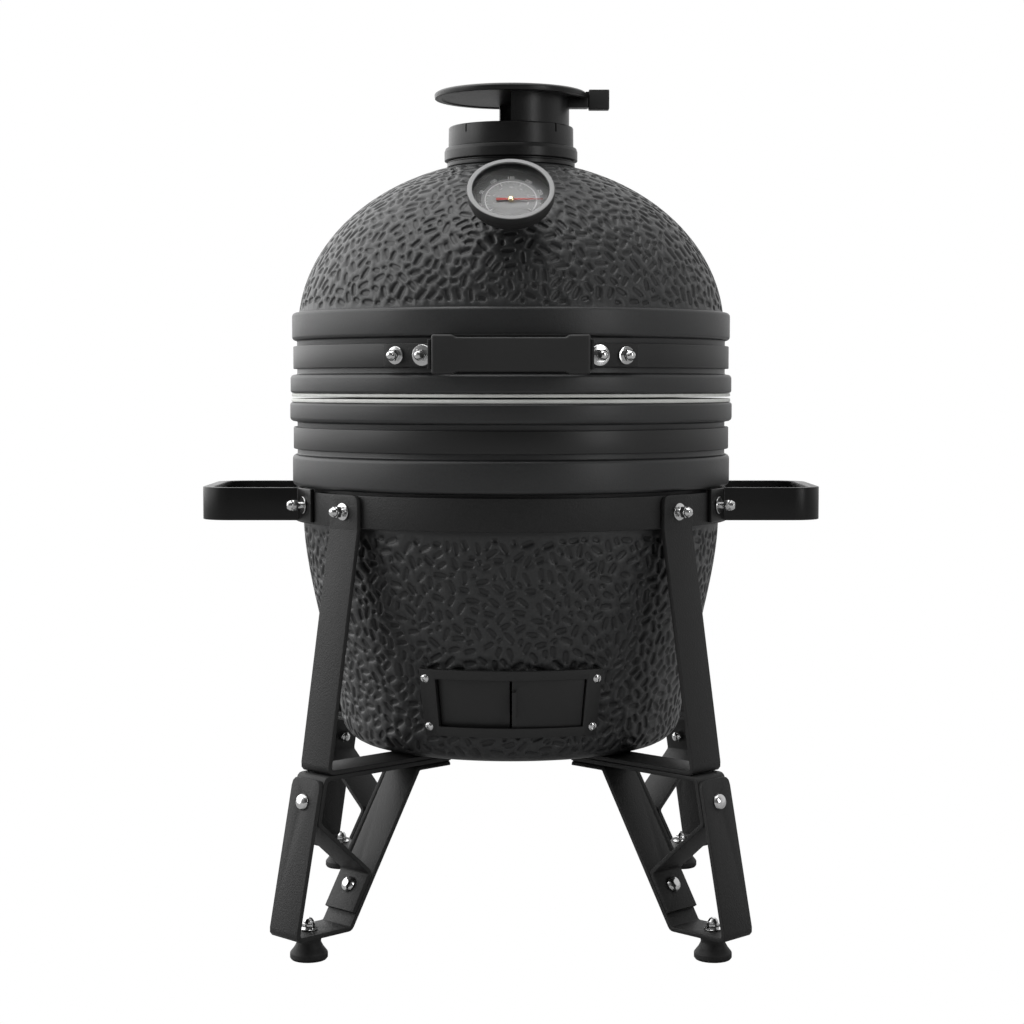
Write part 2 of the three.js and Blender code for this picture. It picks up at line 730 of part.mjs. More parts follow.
const dropShift = sideways(BAR_T + GAP, plateRun);
const tabShift = sideways(2 * BAR_T + GAP, strapRun);
const dropLow = bracketTop - DROP_H;
const strutLow = dropLow - STRUT_H;
const strutTabLow = strutLow - STRUT_TAB_H;
const outerBolt = [along(plateTop, plateRun, bracketTop - OUTER_BOLT_DOWN), bracketTop - OUTER_BOLT_DOWN];
const innerBoltZ = strutTabLow + INNER_BOLT_UP;
const innerBolt = [along(heel, strapRun, innerBoltZ) + tabShift, innerBoltZ];
const plateSquare = THREE.MathUtils.radToDeg(Math.atan2(plateRun.x, -plateRun.y));
const strapSquare = THREE.MathUtils.radToDeg(Math.atan2(-strapRun.x, strapRun.y));
const ringBoltZ = (ringLow + ringHigh) / 2;
const footX = toe[0] - FOOT_IN;

function upperLeg() {
  const bar = bentBar([
    [ARM_TIP_R, armLow],
    [kneeR, armLow],
    [tabOut, ringHigh - TAB_H],
    [tabOut, ringHigh + GAP],
  ].reverse());
  const rounded = common(bar, roundedTop(ringHigh + GAP, 2 * kneeR));
  return cut(rounded, rod(HOLE_R, 6 * BAR_T, tabOut, ringBoltZ, 0, BOLT_ROUND));
}

function strutBracket() {
  const bar = bentBar([
    [ARM_TIP_R, bracketTop],
    [along(plateTop, plateRun, bracketTop) - dropShift, bracketTop],
    [along(plateTop, plateRun, dropLow) - dropShift, dropLow],
    [along(heel, strapRun, strutLow) + tabShift, strutLow],
    [along(heel, strapRun, strutTabLow) + tabShift, strutTabLow],
  ]);
  return cut(bar,
    rod(HOLE_R, 8 * BAR_T, ...outerBolt, plateSquare, BOLT_ROUND),
    rod(HOLE_R, 8 * BAR_T, ...innerBolt, strapSquare, BOLT_ROUND));
}

function footStrap() {
  const bar = bentBar([plateTop, toe, heel, strapBend, [ARM_TIP_R, strapTop - BAR_T]]);
  const rounded = common(bar, roundedTop(plateTop[1], 2 * kneeR));
  return cut(rounded,
    rod(HOLE_R, 4 * BAR_T, ...outerBolt, plateSquare, BOLT_ROUND),
    rod(HOLE_R, 8 * BAR_T, ...innerBolt, strapSquare, BOLT_ROUND),
    rod(HOLE_R, 4 * BAR_T, footX, FOOT_PLATE_Z, 90, BOLT_ROUND));
}

function foot() {
  const nutLow = FOOT_PLATE_Z + BAR_T + GAP;
  return lathe([
    [0, 0],
    [FOOT_R - FOOT_EDGE[0], 0],
    [FOOT_R, FOOT_EDGE[1]],
    [FOOT_R, FOOT_SIDE_H],
    [FOOT_NECK_R, FOOT_H],
    [NUT_R, FOOT_PLATE_Z - GAP],
    [SHANK_R, FOOT_PLATE_Z - GAP],
    [SHANK_R, nutLow],
    [NUT_R, nutLow],
    [NUT_R, nutLow + NUT_H],
    [0, nutLow + 2 * NUT_H],
  ], 12);
}

function addLeg(name, side) {
  const leg = new THREE.Group();
  leg.rotation.z = radians(side);
  grill.add(leg);
  add(`upper_leg_${name}`, upperLeg(), finishes.powder, leg);
  add(`strut_bracket_${name}`, strutBracket(), finishes.powder, leg);
  add(`foot_strap_${name}`, footStrap(), finishes.powder, leg);
  const pad = add(`foot_${name}`, foot(), finishes.rubber, leg);
  pad.position.x = footX;
  const ringBolt = add(`ring_bolt_${name}`, ringStud(BAR_T + 2 * GAP + RING_T), finishes.bright, leg);
  ringBolt.position.set(tabOut, 0, ringBoltZ);
  ringBolt.rotation.y = radians(90);
  const outer = add(`outer_bolt_${name}`, fastener(2 * BAR_T + GAP), finishes.bright, leg);
  outer.position.set(outerBolt[0], 0, outerBolt[1]);
  outer.rotation.y = radians(90 - plateSquare);
  const inner = add(`inner_bolt_${name}`, fastener(2 * BAR_T + GAP), finishes.bright, leg);
  inner.position.set(innerBolt[0], 0, innerBolt[1]);
  inner.rotation.y = radians(90 - strapSquare);
}
Object.entries(LEG_SIDES).forEach(([name, side]) => addLeg(name, side));

// ---- Side handles ----

// A U-shaped bar on the +X side, with a flange on the ring at each end.
function sideHandle() {
  const near = Math.sqrt(ringIn ** 2 - (SIDE_HALF + SIDE_T) ** 2);
  const bar = (reach, half, corner) => {
    const shape = new THREE.Shape();
    shape.moveTo(near, -half);
    shape.lineTo(reach - corner, -half);
    shape.absarc(reach - corner, -half + corner, corner, -Math.PI / 2, 0);
    shape.absarc(reach - corner, half - corner, corner, 0, Math.PI / 2);
    shape.lineTo(near, half);
    return shape;
  };
  const low = (ringLow + ringHigh - SIDE_H) / 2 + SIDE_RAISE;
  const high = low + SIDE_H;
  const outer = prism(bar(sideReach, SIDE_HALF + SIDE_T / 2, SIDE_CORNER), low, high);
  const hollow = bar(sideReach - SIDE_T, SIDE_HALF - SIDE_T / 2, SIDE_CORNER - SIDE_T);
  const inner = prism(hollow, low - 1, high + 1);
  inner.translate(-SIDE_T, 0, 0);
  const flangeIn = ringOut + GAP;
  const flangeOut = flangeIn + SIDE_FLANGE_T;
  const meet = THREE.MathUtils.radToDeg(Math.acos((SIDE_HALF - SIDE_T / 2) / flangeOut));
  const profile = [[flangeIn, low], [flangeOut, low], [flangeOut, high], [flangeIn, high]];
  const front = sector(profile, meet - SIDE_FLANGE, meet);
  const back = sector(profile, 180 - meet, 180 - meet + SIDE_FLANGE);
  const reachIn = disc(flangeIn, low - 1, high + 1, ROUND);
  return cut(join(cut(outer, inner), front, back), reachIn);
}

function mirrored(geometry) {
  const copy = geometry.clone();
  copy.rotateZ(Math.PI);
  return copy;
}

add('side_handle_right', sideHandle(), finishes.blackSteel);
add('side_handle_left', mirrored(sideHandle()), finishes.blackSteel);

// ---- Ceramic lid ----

function lidProfile() {
  const innerTop = DOME_RISE - DOME_WALL_TOP;
  const angleAt = (radius, widest) => Math.acos(radius / widest);
  const startOut = Math.asin(DOME_SINK / DOME_RISE);
  const dome = new THREE.EllipseCurve(
    0, domeZ, domeR, DOME_RISE, startOut, angleAt(NECK_R, domeR));
  const vault = new THREE.EllipseCurve(
    0, domeZ, innerR, innerTop, angleAt(CHIMNEY_R, innerR), 0, true);
  const shoulderR = RIM_R - SHOULDER_STEP;
  return [
    [innerR, lidFoot],
    [RIM_R - LID_LIP_STEP, lidFoot],
    [RIM_R - LID_LIP_STEP, lidLipHigh],
    [grooveR, lidLipHigh],
    [grooveR, shoulderLow],
    [shoulderR, shoulderLow],
    [shoulderR, shoulderHigh - SHOULDER_CHAMFER],
    [shoulderR - SHOULDER_CHAMFER, shoulderHigh],
    ...dome.getPoints(7).map((point) => [point.x, point.y]),
    [NECK_R - NECK_LAND, neckTop],
    [CHIMNEY_R, neckTop],
    ...vault.getPoints(5).map((point) => [point.x, point.y]),
  ];
}

add('lid_shell', cut(lathe(lidProfile()), stemHole()), finishes.ceramic);
add('lid_gasket', ring(RIM_R - SEAL_STEP - SEAL_W, RIM_R - SEAL_STEP, sealTop + GAP, lidFoot - GAP),
  finishes.felt);
add('upper_band', ring(bandIn, bandOut, upperBandLow, upperBandHigh), finishes.band);

// ---- Lift handle on the upper band ----

const bandMiddle = (upperBandLow + upperBandHigh) / 2;

function handleArm() {
  const flangeIn = bandOut + GAP;
  const flangeOut = flangeIn + FLANGE_T;
  const inside = GRIP_HALF + GAP;
  const from = THREE.MathUtils.radToDeg(Math.asin(inside / flangeOut));
  const low = upperBandLow + FLANGE_MARGIN;
  const high = upperBandHigh - FLANGE_MARGIN;
  const flange = sector([[flangeIn, low], [flangeOut, low], [flangeOut, high], [flangeIn, high]],
    from, GRIP_FLANGE_END);
  const front = gripFront - GRIP_ARM_BACK;
  const back = flangeIn * Math.cos(radians(from)) + GAP;
  const plate = new THREE.BoxGeometry(GRIP_ARM_T, front - back, GRIP_ARM_H);
  plate.translate(inside + GRIP_ARM_T / 2, -(front + back) / 2, bandMiddle);
  return join(flange, plate);
}

function mirroredAcross(geometry) {
  const mirror = solid(geometry).scale([-1, 1, 1]);
  return surface(mirror);
}

function grip() {
  const full = GRIP_H / 2;
  const waist = full - GRIP_WAIST;
  const block = GRIP_HALF - GRIP_BLOCK;
  const corner = [
    [block - GRIP_WAIST, waist],
    [block, full],
    [GRIP_HALF, full],
  ];
  const shape = outline([
    ...corner.map(([x, z]) => [x, -z]),
    ...[...corner].reverse(),
    ...corner.map(([x, z]) => [-x, z]),
    ...[...corner].reverse().map(([x, z]) => [-x, -z]),
  ]);
  const geometry = prism(shape, 0, GRIP_D);
  geometry.rotateX(Math.PI / 2);
  geometry.translate(0, GRIP_D - gripFront, bandMiddle);
  return geometry;
}

add('handle_arm_right', handleArm(), finishes.powder);
add('handle_arm_left', mirroredAcross(handleArm()), finishes.powder);
add('handle_grip', grip(), finishes.grip);

// ---- Thermometer on the lid ----

// The point of the dome whose outward direction has the gauge's tilt.
function gaugePlace() {
  const slope = Math.tan(radians(90 - GAUGE_TILT)) * DOME_RISE / domeR;
  const angle = Math.atan(slope);
  return new THREE.Vector3(0, -domeR * Math.cos(angle), domeZ + DOME_RISE * Math.sin(angle));
}

function addThermometer() {
  const gauge = new THREE.Group();
  gauge.position.copy(gaugePlace());
  gauge.rotation.x = radians(GAUGE_TILT);
  grill.add(gauge);

  const front = GAUGE_STANDOFF + GAUGE_DEPTH;
  const lipBack = front - BEZEL_T;
  const caseR = GAUGE_R - GAUGE_WALL - GAP;
  const cupR = caseR - GAUGE_WALL;
  const glassBack = lipBack - GAP - GLASS_T;
  const cupTop = lipBack - GAP;
  const dialFront = glassBack - 3 * NEEDLE_T - HUB_R;
  const floor = dialFront - DIAL_T - GAP;
  const bezelBack = floor + GAUGE_WALL;

  add('thermometer_case', lathe([
    [0, -STEM_L],
    [STEM_R, -STEM_L],
    [STEM_R, 1],
    [GAUGE_NUT_R, 1],
    [GAUGE_NUT_R, GAUGE_STANDOFF],
    [caseR, GAUGE_STANDOFF],
    [caseR, cupTop],
    [cupR, cupTop],
    [cupR, floor],
    [0, floor],
  ], SMALL_ROUND), finishes.satin, gauge);
  add('thermometer_bezel', lathe([
    [caseR + GAP, bezelBack],
    [GAUGE_R, bezelBack],
    [GAUGE_R, front - 1],
    [GAUGE_R - 1, front],
    [GAUGE_R - BEZEL_LIP, front],
    [GAUGE_R - BEZEL_LIP, lipBack],
    [caseR + GAP, lipBack],
  ], SMALL_ROUND), finishes.satin, gauge);
  add('thermometer_dial', disc(cupR - GAP, floor + GAP, dialFront, SMALL_ROUND), finishes.dial, gauge);
  add('thermometer_glass', disc(cupR - GAP, glassBack, cupTop, SMALL_ROUND), finishes.glass, gauge);

  const needleLow = dialFront + NEEDLE_T;
  const pointer = outline([
    [-NEEDLE_TAIL, -NEEDLE_W / 2],
    [NEEDLE_TIP, -NEEDLE_TIP_W / 2],
    [NEEDLE_TIP, NEEDLE_TIP_W / 2],
    [-NEEDLE_TAIL, NEEDLE_W / 2],
  ]);
  const needle = join(
    prism(pointer, needleLow, needleLow + NEEDLE_T),
    disc(HUB_R, needleLow - NEEDLE_T / 2, needleLow + 2 * NEEDLE_T, BOLT_ROUND),
  );
  add('thermometer_needle', needle, finishes.needle, gauge);
}
addThermometer();

// ---- Cap on the chimney ----

// The half-moon through the cap's plate and the hood's floor.
function halfMoon(z, thickness) {
  const radius = CHIMNEY_R - 2 * GAP;
  const web = HOOD_WALL;
  const shape = new THREE.Shape();
  shape.moveTo(-web, -radius + web);
  shape.lineTo(-web, radius - web);
  shape.absarc(0, 0, radius - web, 0.55 * Math.PI, 1.45 * Math.PI);
  return prism(shape, z - 1, z + thickness + 1);
}

function capBase() {
  const low = capFoot;
  const plate = capTop - CAP_PLATE_T;
  const body = lathe([
    [CHIMNEY_R, low],
    [CAP_BASE_R - CAP_BASE_SLOPE, low],
    ...CAP_BASE_WIDE.map((height) => [CAP_BASE_R, low + height]),
    [CAP_BASE_R - CAP_EDGE, capTop],
    [0, capTop],
    [0, plate],
    [CHIMNEY_R, plate],
  ], MEDIUM_ROUND);
  return cut(body, halfMoon(plate, CAP_PLATE_T));
}

function scaleRing() {
  const low = capTop + GAP;
  const high = low + SCALE_H;
  return lathe([
    [SCALE_R - SCALE_T, low],
    [SCALE_R, low],
    [SCALE_R, high - SCALE_EDGE_H],
    [SCALE_R - CAP_EDGE, high],
    [SCALE_R - SCALE_T, high],
  ], MEDIUM_ROUND);
}

function hood() {
  const floor = disc(hoodWallR, hoodFoot, hoodFoot + CAP_PLATE_T);
  const wall = sector([
    [hoodWallR - HOOD_WALL, hoodFoot],
    [hoodWallR, hoodFoot],
    [hoodWallR, hoodDiscZ + HOOD_RIM_DROP],
    [hoodWallR - HOOD_WALL, hoodDiscZ + HOOD_RIM_DROP],
  ], 0, HOOD_SPAN, MEDIUM_ROUND);
  const lid = lathe([
    [0, hoodDiscZ],
    [HOOD_DISC_R - HOOD_RIM_W, hoodDiscZ],
    [HOOD_DISC_R - HOOD_RIM_W, hoodDiscZ - HOOD_RIM_DROP],
    [HOOD_DISC_R, hoodDiscZ - HOOD_RIM_DROP],
    [HOOD_DISC_R, hoodDiscZ - HOOD_RIM_DROP + HOOD_RIM_H],
    [HOOD_DISC_R - HOOD_RIM_EDGE, hoodDiscZ + HOOD_RIM_H],
    [0, hoodDiscZ + HOOD_DISC_T],
  ], MEDIUM_ROUND);
  const neck = new THREE.BoxGeometry(HOOD_DISC_R - hoodWallR + HOOD_WALL, KNOB_W, KNOB_H / 2);
  neck.translate((HOOD_DISC_R + hoodWallR - HOOD_WALL) / 2, 0, hoodDiscZ - KNOB_H / 4);
  return join(cut(floor, halfMoon(hoodFoot, CAP_PLATE_T)), wall, lid, neck);
}

function knob() {
  const block = new THREE.BoxGeometry(KNOB_L, KNOB_W, KNOB_H);
  block.translate(HOOD_DISC_R + KNOB_GAP + KNOB_L / 2, 0, hoodDiscZ + HOOD_DISC_T - KNOB_H / 2);
  return block;
}

add('vent_base', capBase(), finishes.cast);
add('vent_scale_ring', scaleRing(), finishes.cast);
add('vent_hood', hood(), finishes.cast);
add('vent_knob', knob(), finishes.grip);

// ---- Hinge at the back ----

// A pair of ears on a curved plate that wraps a band. The ears reach from the band to the pin.
function hingeBracket(low, high, outside, sign) {
  const plateIn = bandOut + GAP;
  const plateOut = plateIn + FLANGE_T;
  const wrap = sector([[plateIn, low], [plateOut, low], [plateOut, high], [plateIn, high]],
    180 - HINGE_WRAP, 180 + HINGE_WRAP);
  const far = sign > 0 ? high : low;
  const near = sign > 0 ? low : high;
  const root = Math.sqrt((plateIn + FLANGE_T / 2) ** 2 - outside ** 2);
  const arc = new THREE.EllipseCurve(
    hingeY, hingeZ, EAR_R, EAR_R, sign * radians(EAR_LEAN), sign * radians(-180), sign > 0);
  const points = [
    [root, far],
    [root + EAR_FOOT, far],
    ...arc.getPoints(8).map((point) => [point.x, point.y]),
    [root, near],
  ];
  const ordered = sign > 0 ? points.reverse() : points;
  const ears = [-outside, outside - EAR_T].map((x) => {
    const ear = prism(outline(ordered), 0, EAR_T);
    ear.rotateX(Math.PI / 2);
    ear.rotateZ(Math.PI / 2);
    ear.translate(x, 0, 0);
    return ear;
  });
  return cut(join(wrap, ...ears), pinRod(PIN_HOLE_R, 2 * HINGE_HALF + EAR_R));
}

function pinRod(radius, length) {
  const geometry = rod(radius, length, 0, hingeZ, 0, SMALL_ROUND);
  geometry.translate(0, hingeY, 0);
  return geometry;
}

function hingePin() {
  const length = 2 * (HINGE_HALF + PIN_HEAD_T + GAP);
  const heads = [-1, 1].map((side) => {
    const head = pinRod(PIN_HEAD_R, PIN_HEAD_T);
    head.translate(side * (HINGE_HALF + GAP + PIN_HEAD_T / 2), 0, 0);
    return head;
  });
  return join(pinRod(PIN_R, length), ...heads);
}

function hingeSpring() {
  const half = HINGE_HALF - 2 * EAR_T - EAR_GAP - TRACK_GAP;
  const coil = pinRod(SPRING_R, 2 * half);
  return cut(coil, pinRod(SPRING_R - SPRING_WIRE, 3 * half));
}

add('hinge_lower_bracket',
  hingeBracket(lowerBandLow + FLANGE_MARGIN, lowerBandHigh - FLANGE_MARGIN, HINGE_HALF, -1), finishes.powder);
add('hinge_upper_bracket',
  hingeBracket(upperBandLow + FLANGE_MARGIN, upperBandHigh - FLANGE_MARGIN,
    HINGE_HALF - EAR_T - EAR_GAP, 1), finishes.powder);
add('hinge_pin', hingePin(), finishes.bright);
add('hinge_spring', hingeSpring(), finishes.bright);

export default grill;
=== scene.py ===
"""A kamado ceramic grill, in the order it is put together. Metres, +Z up, front to -Y."""
import math

import bpy
import numpy as np
from mathutils import Matrix, Vector
from mathutils.geometry import delaunay_2d_cdt


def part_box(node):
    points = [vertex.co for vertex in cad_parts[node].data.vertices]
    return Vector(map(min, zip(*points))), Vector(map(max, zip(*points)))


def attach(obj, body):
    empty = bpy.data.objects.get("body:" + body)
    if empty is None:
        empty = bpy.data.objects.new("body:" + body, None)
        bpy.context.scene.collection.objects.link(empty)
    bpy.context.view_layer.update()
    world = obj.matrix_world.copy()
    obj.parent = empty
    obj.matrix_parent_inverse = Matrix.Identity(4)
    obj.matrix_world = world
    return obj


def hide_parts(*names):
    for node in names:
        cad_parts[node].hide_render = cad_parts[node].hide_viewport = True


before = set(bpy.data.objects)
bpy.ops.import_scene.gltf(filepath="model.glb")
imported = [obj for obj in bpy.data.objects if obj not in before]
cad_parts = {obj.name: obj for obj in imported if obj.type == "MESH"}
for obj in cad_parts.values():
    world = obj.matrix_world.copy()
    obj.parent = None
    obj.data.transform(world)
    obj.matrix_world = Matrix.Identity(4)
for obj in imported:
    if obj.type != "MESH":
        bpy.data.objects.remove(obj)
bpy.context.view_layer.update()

# ---- Camera, floor and light ----
# A long lens from a little over two metres, just above the seam of the lid.
# The floor and room are seen as plain white. For the grill itself the floor is grey, and the room is
# bright at the back and left and dim in front, with soft panels at the sides.
LENS = 73.83
EYE = (0.001, -2.1, 0.5303)
LOOK_DOWN = 3.488

bpy.ops.object.camera_add(location=EYE, rotation=(math.radians(90 - LOOK_DOWN), 0, 0))
camera = bpy.context.object
camera.data.lens = LENS
camera.data.clip_end = 200
bpy.context.scene.camera = camera
bpy.context.scene.view_settings.view_transform = "Standard"

bpy.ops.object.select_all(action="DESELECT")
bpy.ops.mesh.primitive_circle_add(vertices=96, radius=40, fill_type="NGON")
floor = bpy.context.object
floor.name = "floor"
paint = bpy.data.materials.new("floor_paint")
paint.use_nodes = True
matt = paint.node_tree.nodes["Principled BSDF"]
matt.inputs["Base Color"].default_value = (0.38, 0.38, 0.38, 1)
matt.inputs["Roughness"].default_value = 0.9
matt.inputs["Specular IOR Level"].default_value = 0.1
bright = paint.node_tree.nodes.new("ShaderNodeEmission")
bright.inputs["Color"].default_value = (1, 1, 1, 1)
bright.inputs["Strength"].default_value = 1.0
looked_at = paint.node_tree.nodes.new("ShaderNodeLightPath")
either = paint.node_tree.nodes.new("ShaderNodeMixShader")
paint.node_tree.links.new(looked_at.outputs["Is Camera Ray"], either.inputs[0])
paint.node_tree.links.new(matt.outputs[0], either.inputs[1])
paint.node_tree.links.new(bright.outputs[0], either.inputs[2])
paint.node_tree.links.new(either.outputs[0], paint.node_tree.nodes["Material Output"].inputs["Surface"])
floor.data.materials.append(paint)

world = bpy.data.worlds.new("studio")
bpy.context.scene.world = world
world.use_nodes = True
nodes = world.node_tree.nodes
links = world.node_tree.links
room = nodes["Background"]
room.inputs["Strength"].default_value = 1.0
way = nodes.new("ShaderNodeTexCoord")
split = nodes.new("ShaderNodeSeparateXYZ")
links.new(way.outputs["Generated"], split.inputs[0])


def room_ramp(axis, start, end, start_tone, end_tone, easing):
    """The brightness of the room along one axis of its sphere of directions."""
    ramp = nodes.new("ShaderNodeMapRange")
    ramp.inputs["From Min"].default_value = start
    ramp.inputs["From Max"].default_value = end
    ramp.inputs["To Min"].default_value = start_tone
    ramp.inputs["To Max"].default_value = end_tone
    ramp.interpolation_type = easing
    links.new(split.outputs[axis], ramp.inputs["Value"])
    return ramp


front_to_back = room_ramp("Y", -0.75, 0.2, 0.08, 1.15, "SMOOTHSTEP")
left_to_right = room_ramp("X", -0.95, 0.5, 2.3, 0.6, "LINEAR")
both = nodes.new("ShaderNodeMath")
both.operation = "MULTIPLY"
links.new(front_to_back.outputs[0], both.inputs[0])
links.new(left_to_right.outputs[0], both.inputs[1])
links.new(both.outputs[0], room.inputs["Color"])
backdrop = nodes.new("ShaderNodeBackground")
backdrop.inputs["Strength"].default_value = 1.0
backdrop.inputs["Color"].default_value = (1, 1, 1, 1)
seen = nodes.new("ShaderNodeLightPath")
choice = nodes.new("ShaderNodeMixShader")
links.new(seen.outputs["Is Camera Ray"], choice.inputs[0])
links.new(room.outputs[0], choice.inputs[1])
links.new(backdrop.outputs[0], choice.inputs[2])
links.new(choice.outputs[0], nodes["World Output"].inputs["Surface"])


def panel(name, place, aim, size, power):
    """A soft rectangular light, turned to face its aim."""
    bpy.ops.object.light_add(type="AREA", location=place)
    light = bpy.context.object
    light.name = name
    light.data.shape = "RECTANGLE"
    light.data.size, light.data.size_y = size
    light.data.energy = power
    light.rotation_euler = (Vector(aim) - Vector(place)).to_track_quat("-Z", "Y").to_euler()


panel("left_panel", (-2.6, -0.9, 1.5), (0, 0, 0.45), (1.2, 1.6), 9)
panel("right_strip", (1.75, -1.75, 1.1), (0, 0, 0.5), (0.3, 1.5), 9)
panel("top_panel", (-0.2, -0.4, 2.8), (0, 0, 0.6), (1.8, 1.3), 17)

# ---- Rubber feet ----
# Each leg stands on a moulded black rubber bell with a narrow neck, on a steel stud that passes
# through the foot plate and takes a washer and a domed nut on top.
MM = 0.001
SIDES = {"fl": -135, "fr": -45, "br": 45, "bl": 135}
ROUND = 192


def alone(piece=None):
    """Leaves edit mode with only this piece selected and active."""
    if bpy.context.object and bpy.context.object.mode != "OBJECT":
        bpy.ops.object.mode_set(mode="OBJECT")
    bpy.ops.object.select_all(action="DESELECT")
    bpy.context.view_layer.objects.active = piece
    if piece:
        piece.select_set(True)


def rounded(points, steps=4):
    """An outline in millimetres: a corner given as (r, z, radius) becomes an arc."""
    outline = []
    for i, point in enumerate(points):
        here = Vector(point[:2])
        if len(point) < 3:
            outline.append(here)
            continue
        back = (Vector(points[i - 1][:2]) - here).normalized()
        ahead = (Vector(points[(i + 1) % len(points)][:2]) - here).normalized()
        half = back.angle(ahead) / 2
        centre = here + (back + ahead).normalized() * point[2] / math.sin(half)
        start = here + back * point[2] / math.tan(half) - centre
        end = here + ahead * point[2] / math.tan(half) - centre
        for k in range(steps + 1):
            outline.append(centre + start.lerp(end, k / steps).normalized() * point[2])
    return outline


def drawn(name, path):
    """A piece left in edit mode, holding only the path of (r, z) in millimetres as a chain of edges."""
    alone()
    bpy.ops.mesh.primitive_plane_add(size=0.01)
    piece = bpy.context.object
    piece.name = name
    bpy.ops.object.mode_set(mode="EDIT")
    bpy.ops.mesh.select_all(action="SELECT")
    bpy.ops.mesh.merge(type="CENTER")
    bpy.ops.transform.translate(value=(path[0][0] * MM, 0, path[0][1] * MM))
    for here, ahead in zip(path, path[1:]):
        step = ((ahead[0] - here[0]) * MM, 0, (ahead[1] - here[1]) * MM)
        bpy.ops.mesh.extrude_vertices_move(TRANSFORM_OT_translate={"value": step})
    bpy.ops.mesh.select_all(action="SELECT")
    return piece


def turned(name, outline, steps=ROUND, closed=True):
    """Spins an outline of (r, z) in millimetres about Z. A closed outline returns to its first point."""
    piece = drawn(name, list(outline) + ([outline[0]] if closed else []))
    bpy.ops.mesh.spin(steps=steps, angle=math.tau, center=(0, 0, 0), axis=(0, 0, 1))
    bpy.ops.mesh.select_all(action="SELECT")
    bpy.ops.mesh.remove_doubles(threshold=2e-6)
    bpy.ops.mesh.normals_make_consistent(inside=False)
    bpy.ops.object.mode_set(mode="OBJECT")
    return piece


def smoothed(piece, degrees=40):
    """Smooth shading that keeps each edge sharper than the angle crisp."""
    alone(piece)
    bpy.ops.object.shade_smooth_by_angle(angle=math.radians(degrees))
    return piece


def joined(name, *pieces):
    """Makes one piece of several."""
    alone(pieces[0])
    for piece in pieces:
        piece.select_set(True)
    bpy.ops.object.join()
    pieces[0].name = name
    return pieces[0]


def placed(piece, name, matrix):
    """A copy with its own mesh, put where the matrix says."""
    copy = bpy.data.objects.new(name, piece.data.copy())
    bpy.context.collection.objects.link(copy)
    copy.data.transform(matrix)
    return copy


def finish(name, dark, light, rough, grain, bump, metal=0.0, patch=14.0, depth=0.0002,
           stretch=(1, 1, 1), shine=0.5):
    """A surface whose colour drifts between two tones, with a fine grain in relief and in its gloss."""
    material = bpy.data.materials.new(name)
    material.use_nodes = True
    tree = material.node_tree
    shader = tree.nodes["Principled BSDF"]
    shader.inputs["Metallic"].default_value = metal
    shader.inputs["Specular IOR Level"].default_value = shine
    place = tree.nodes.new("ShaderNodeTexCoord")
    mapping = tree.nodes.new("ShaderNodeMapping")
    mapping.inputs["Scale"].default_value = stretch
    tree.links.new(place.outputs["Object"], mapping.inputs["Vector"])
    cloud = tree.nodes.new("ShaderNodeTexNoise")
    cloud.inputs["Scale"].default_value = patch
    cloud.inputs["Detail"].default_value = 6
    fine = tree.nodes.new("ShaderNodeTexNoise")
    fine.inputs["Scale"].default_value = grain
    fine.inputs["Detail"].default_value = 3
    tree.links.new(mapping.outputs[0], cloud.inputs["Vector"])
    tree.links.new(mapping.outputs[0], fine.inputs["Vector"])
    tones = tree.nodes.new("ShaderNodeValToRGB")
    tones.color_ramp.elements[0].position = 0.3
    tones.color_ramp.elements[0].color = (*dark, 1)
    tones.color_ramp.elements[1].position = 0.7
    tones.color_ramp.elements[1].color = (*light, 1)
    blend = tree.nodes.new("ShaderNodeMath")
    blend.operation = "MULTIPLY_ADD"
    blend.inputs[1].default_value = 0.45
    halved = tree.nodes.new("ShaderNodeMath")
    halved.operation = "MULTIPLY"
    halved.inputs[1].default_value = 0.55
    tree.links.new(cloud.outputs["Fac"], halved.inputs[0])
    tree.links.new(fine.outputs["Fac"], blend.inputs[0])
    tree.links.new(halved.outputs[0], blend.inputs[2])
    tree.links.new(blend.outputs[0], tones.inputs["Fac"])
    tree.links.new(tones.outputs["Color"], shader.inputs["Base Color"])
    gloss = tree.nodes.new("ShaderNodeMapRange")
    gloss.inputs["From Min"].default_value = 0.3
    gloss.inputs["From Max"].default_value = 0.7
    gloss.inputs["To Min"].default_value = rough[0]
    gloss.inputs["To Max"].default_value = rough[1]
    tree.links.new(blend.outputs[0], gloss.inputs["Value"])
    tree.links.new(gloss.outputs[0], shader.inputs["Roughness"])
    relief = tree.nodes.new("ShaderNodeBump")
    relief.inputs["Strength"].default_value = bump
    relief.inputs["Distance"].default_value = depth
    tree.links.new(fine.outputs["Fac"], relief.inputs["Height"])
    tree.links.new(relief.outputs[0], shader.inputs["Normal"])
    return material


def fitted(piece, material, slot, body, *nodes):
    """Dresses a finished piece and puts it on its body in place of its CAD nodes."""
    piece.data.materials.clear()
    piece.data.materials.append(material)
    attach(piece, body)
    if nodes:
        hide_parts(*nodes)
    return piece


def grey(value, warmth=0.0):
    """A neutral tone, or a slightly warm or cold one."""
    return (value * (1 + warmth), value, value * (1 - warmth))


rubber = finish("foot_rubber", grey(0.005), grey(0.011), (0.5, 0.68), 1400, 0.25)
chrome = finish("bright_chrome", grey(0.62), grey(0.78), (0.08, 0.2), 500, 0.04, metal=1.0, patch=60)

FOOT_RADIUS = 17.5
FOOT_TALL = 22.5
NUT_ROUND = 48


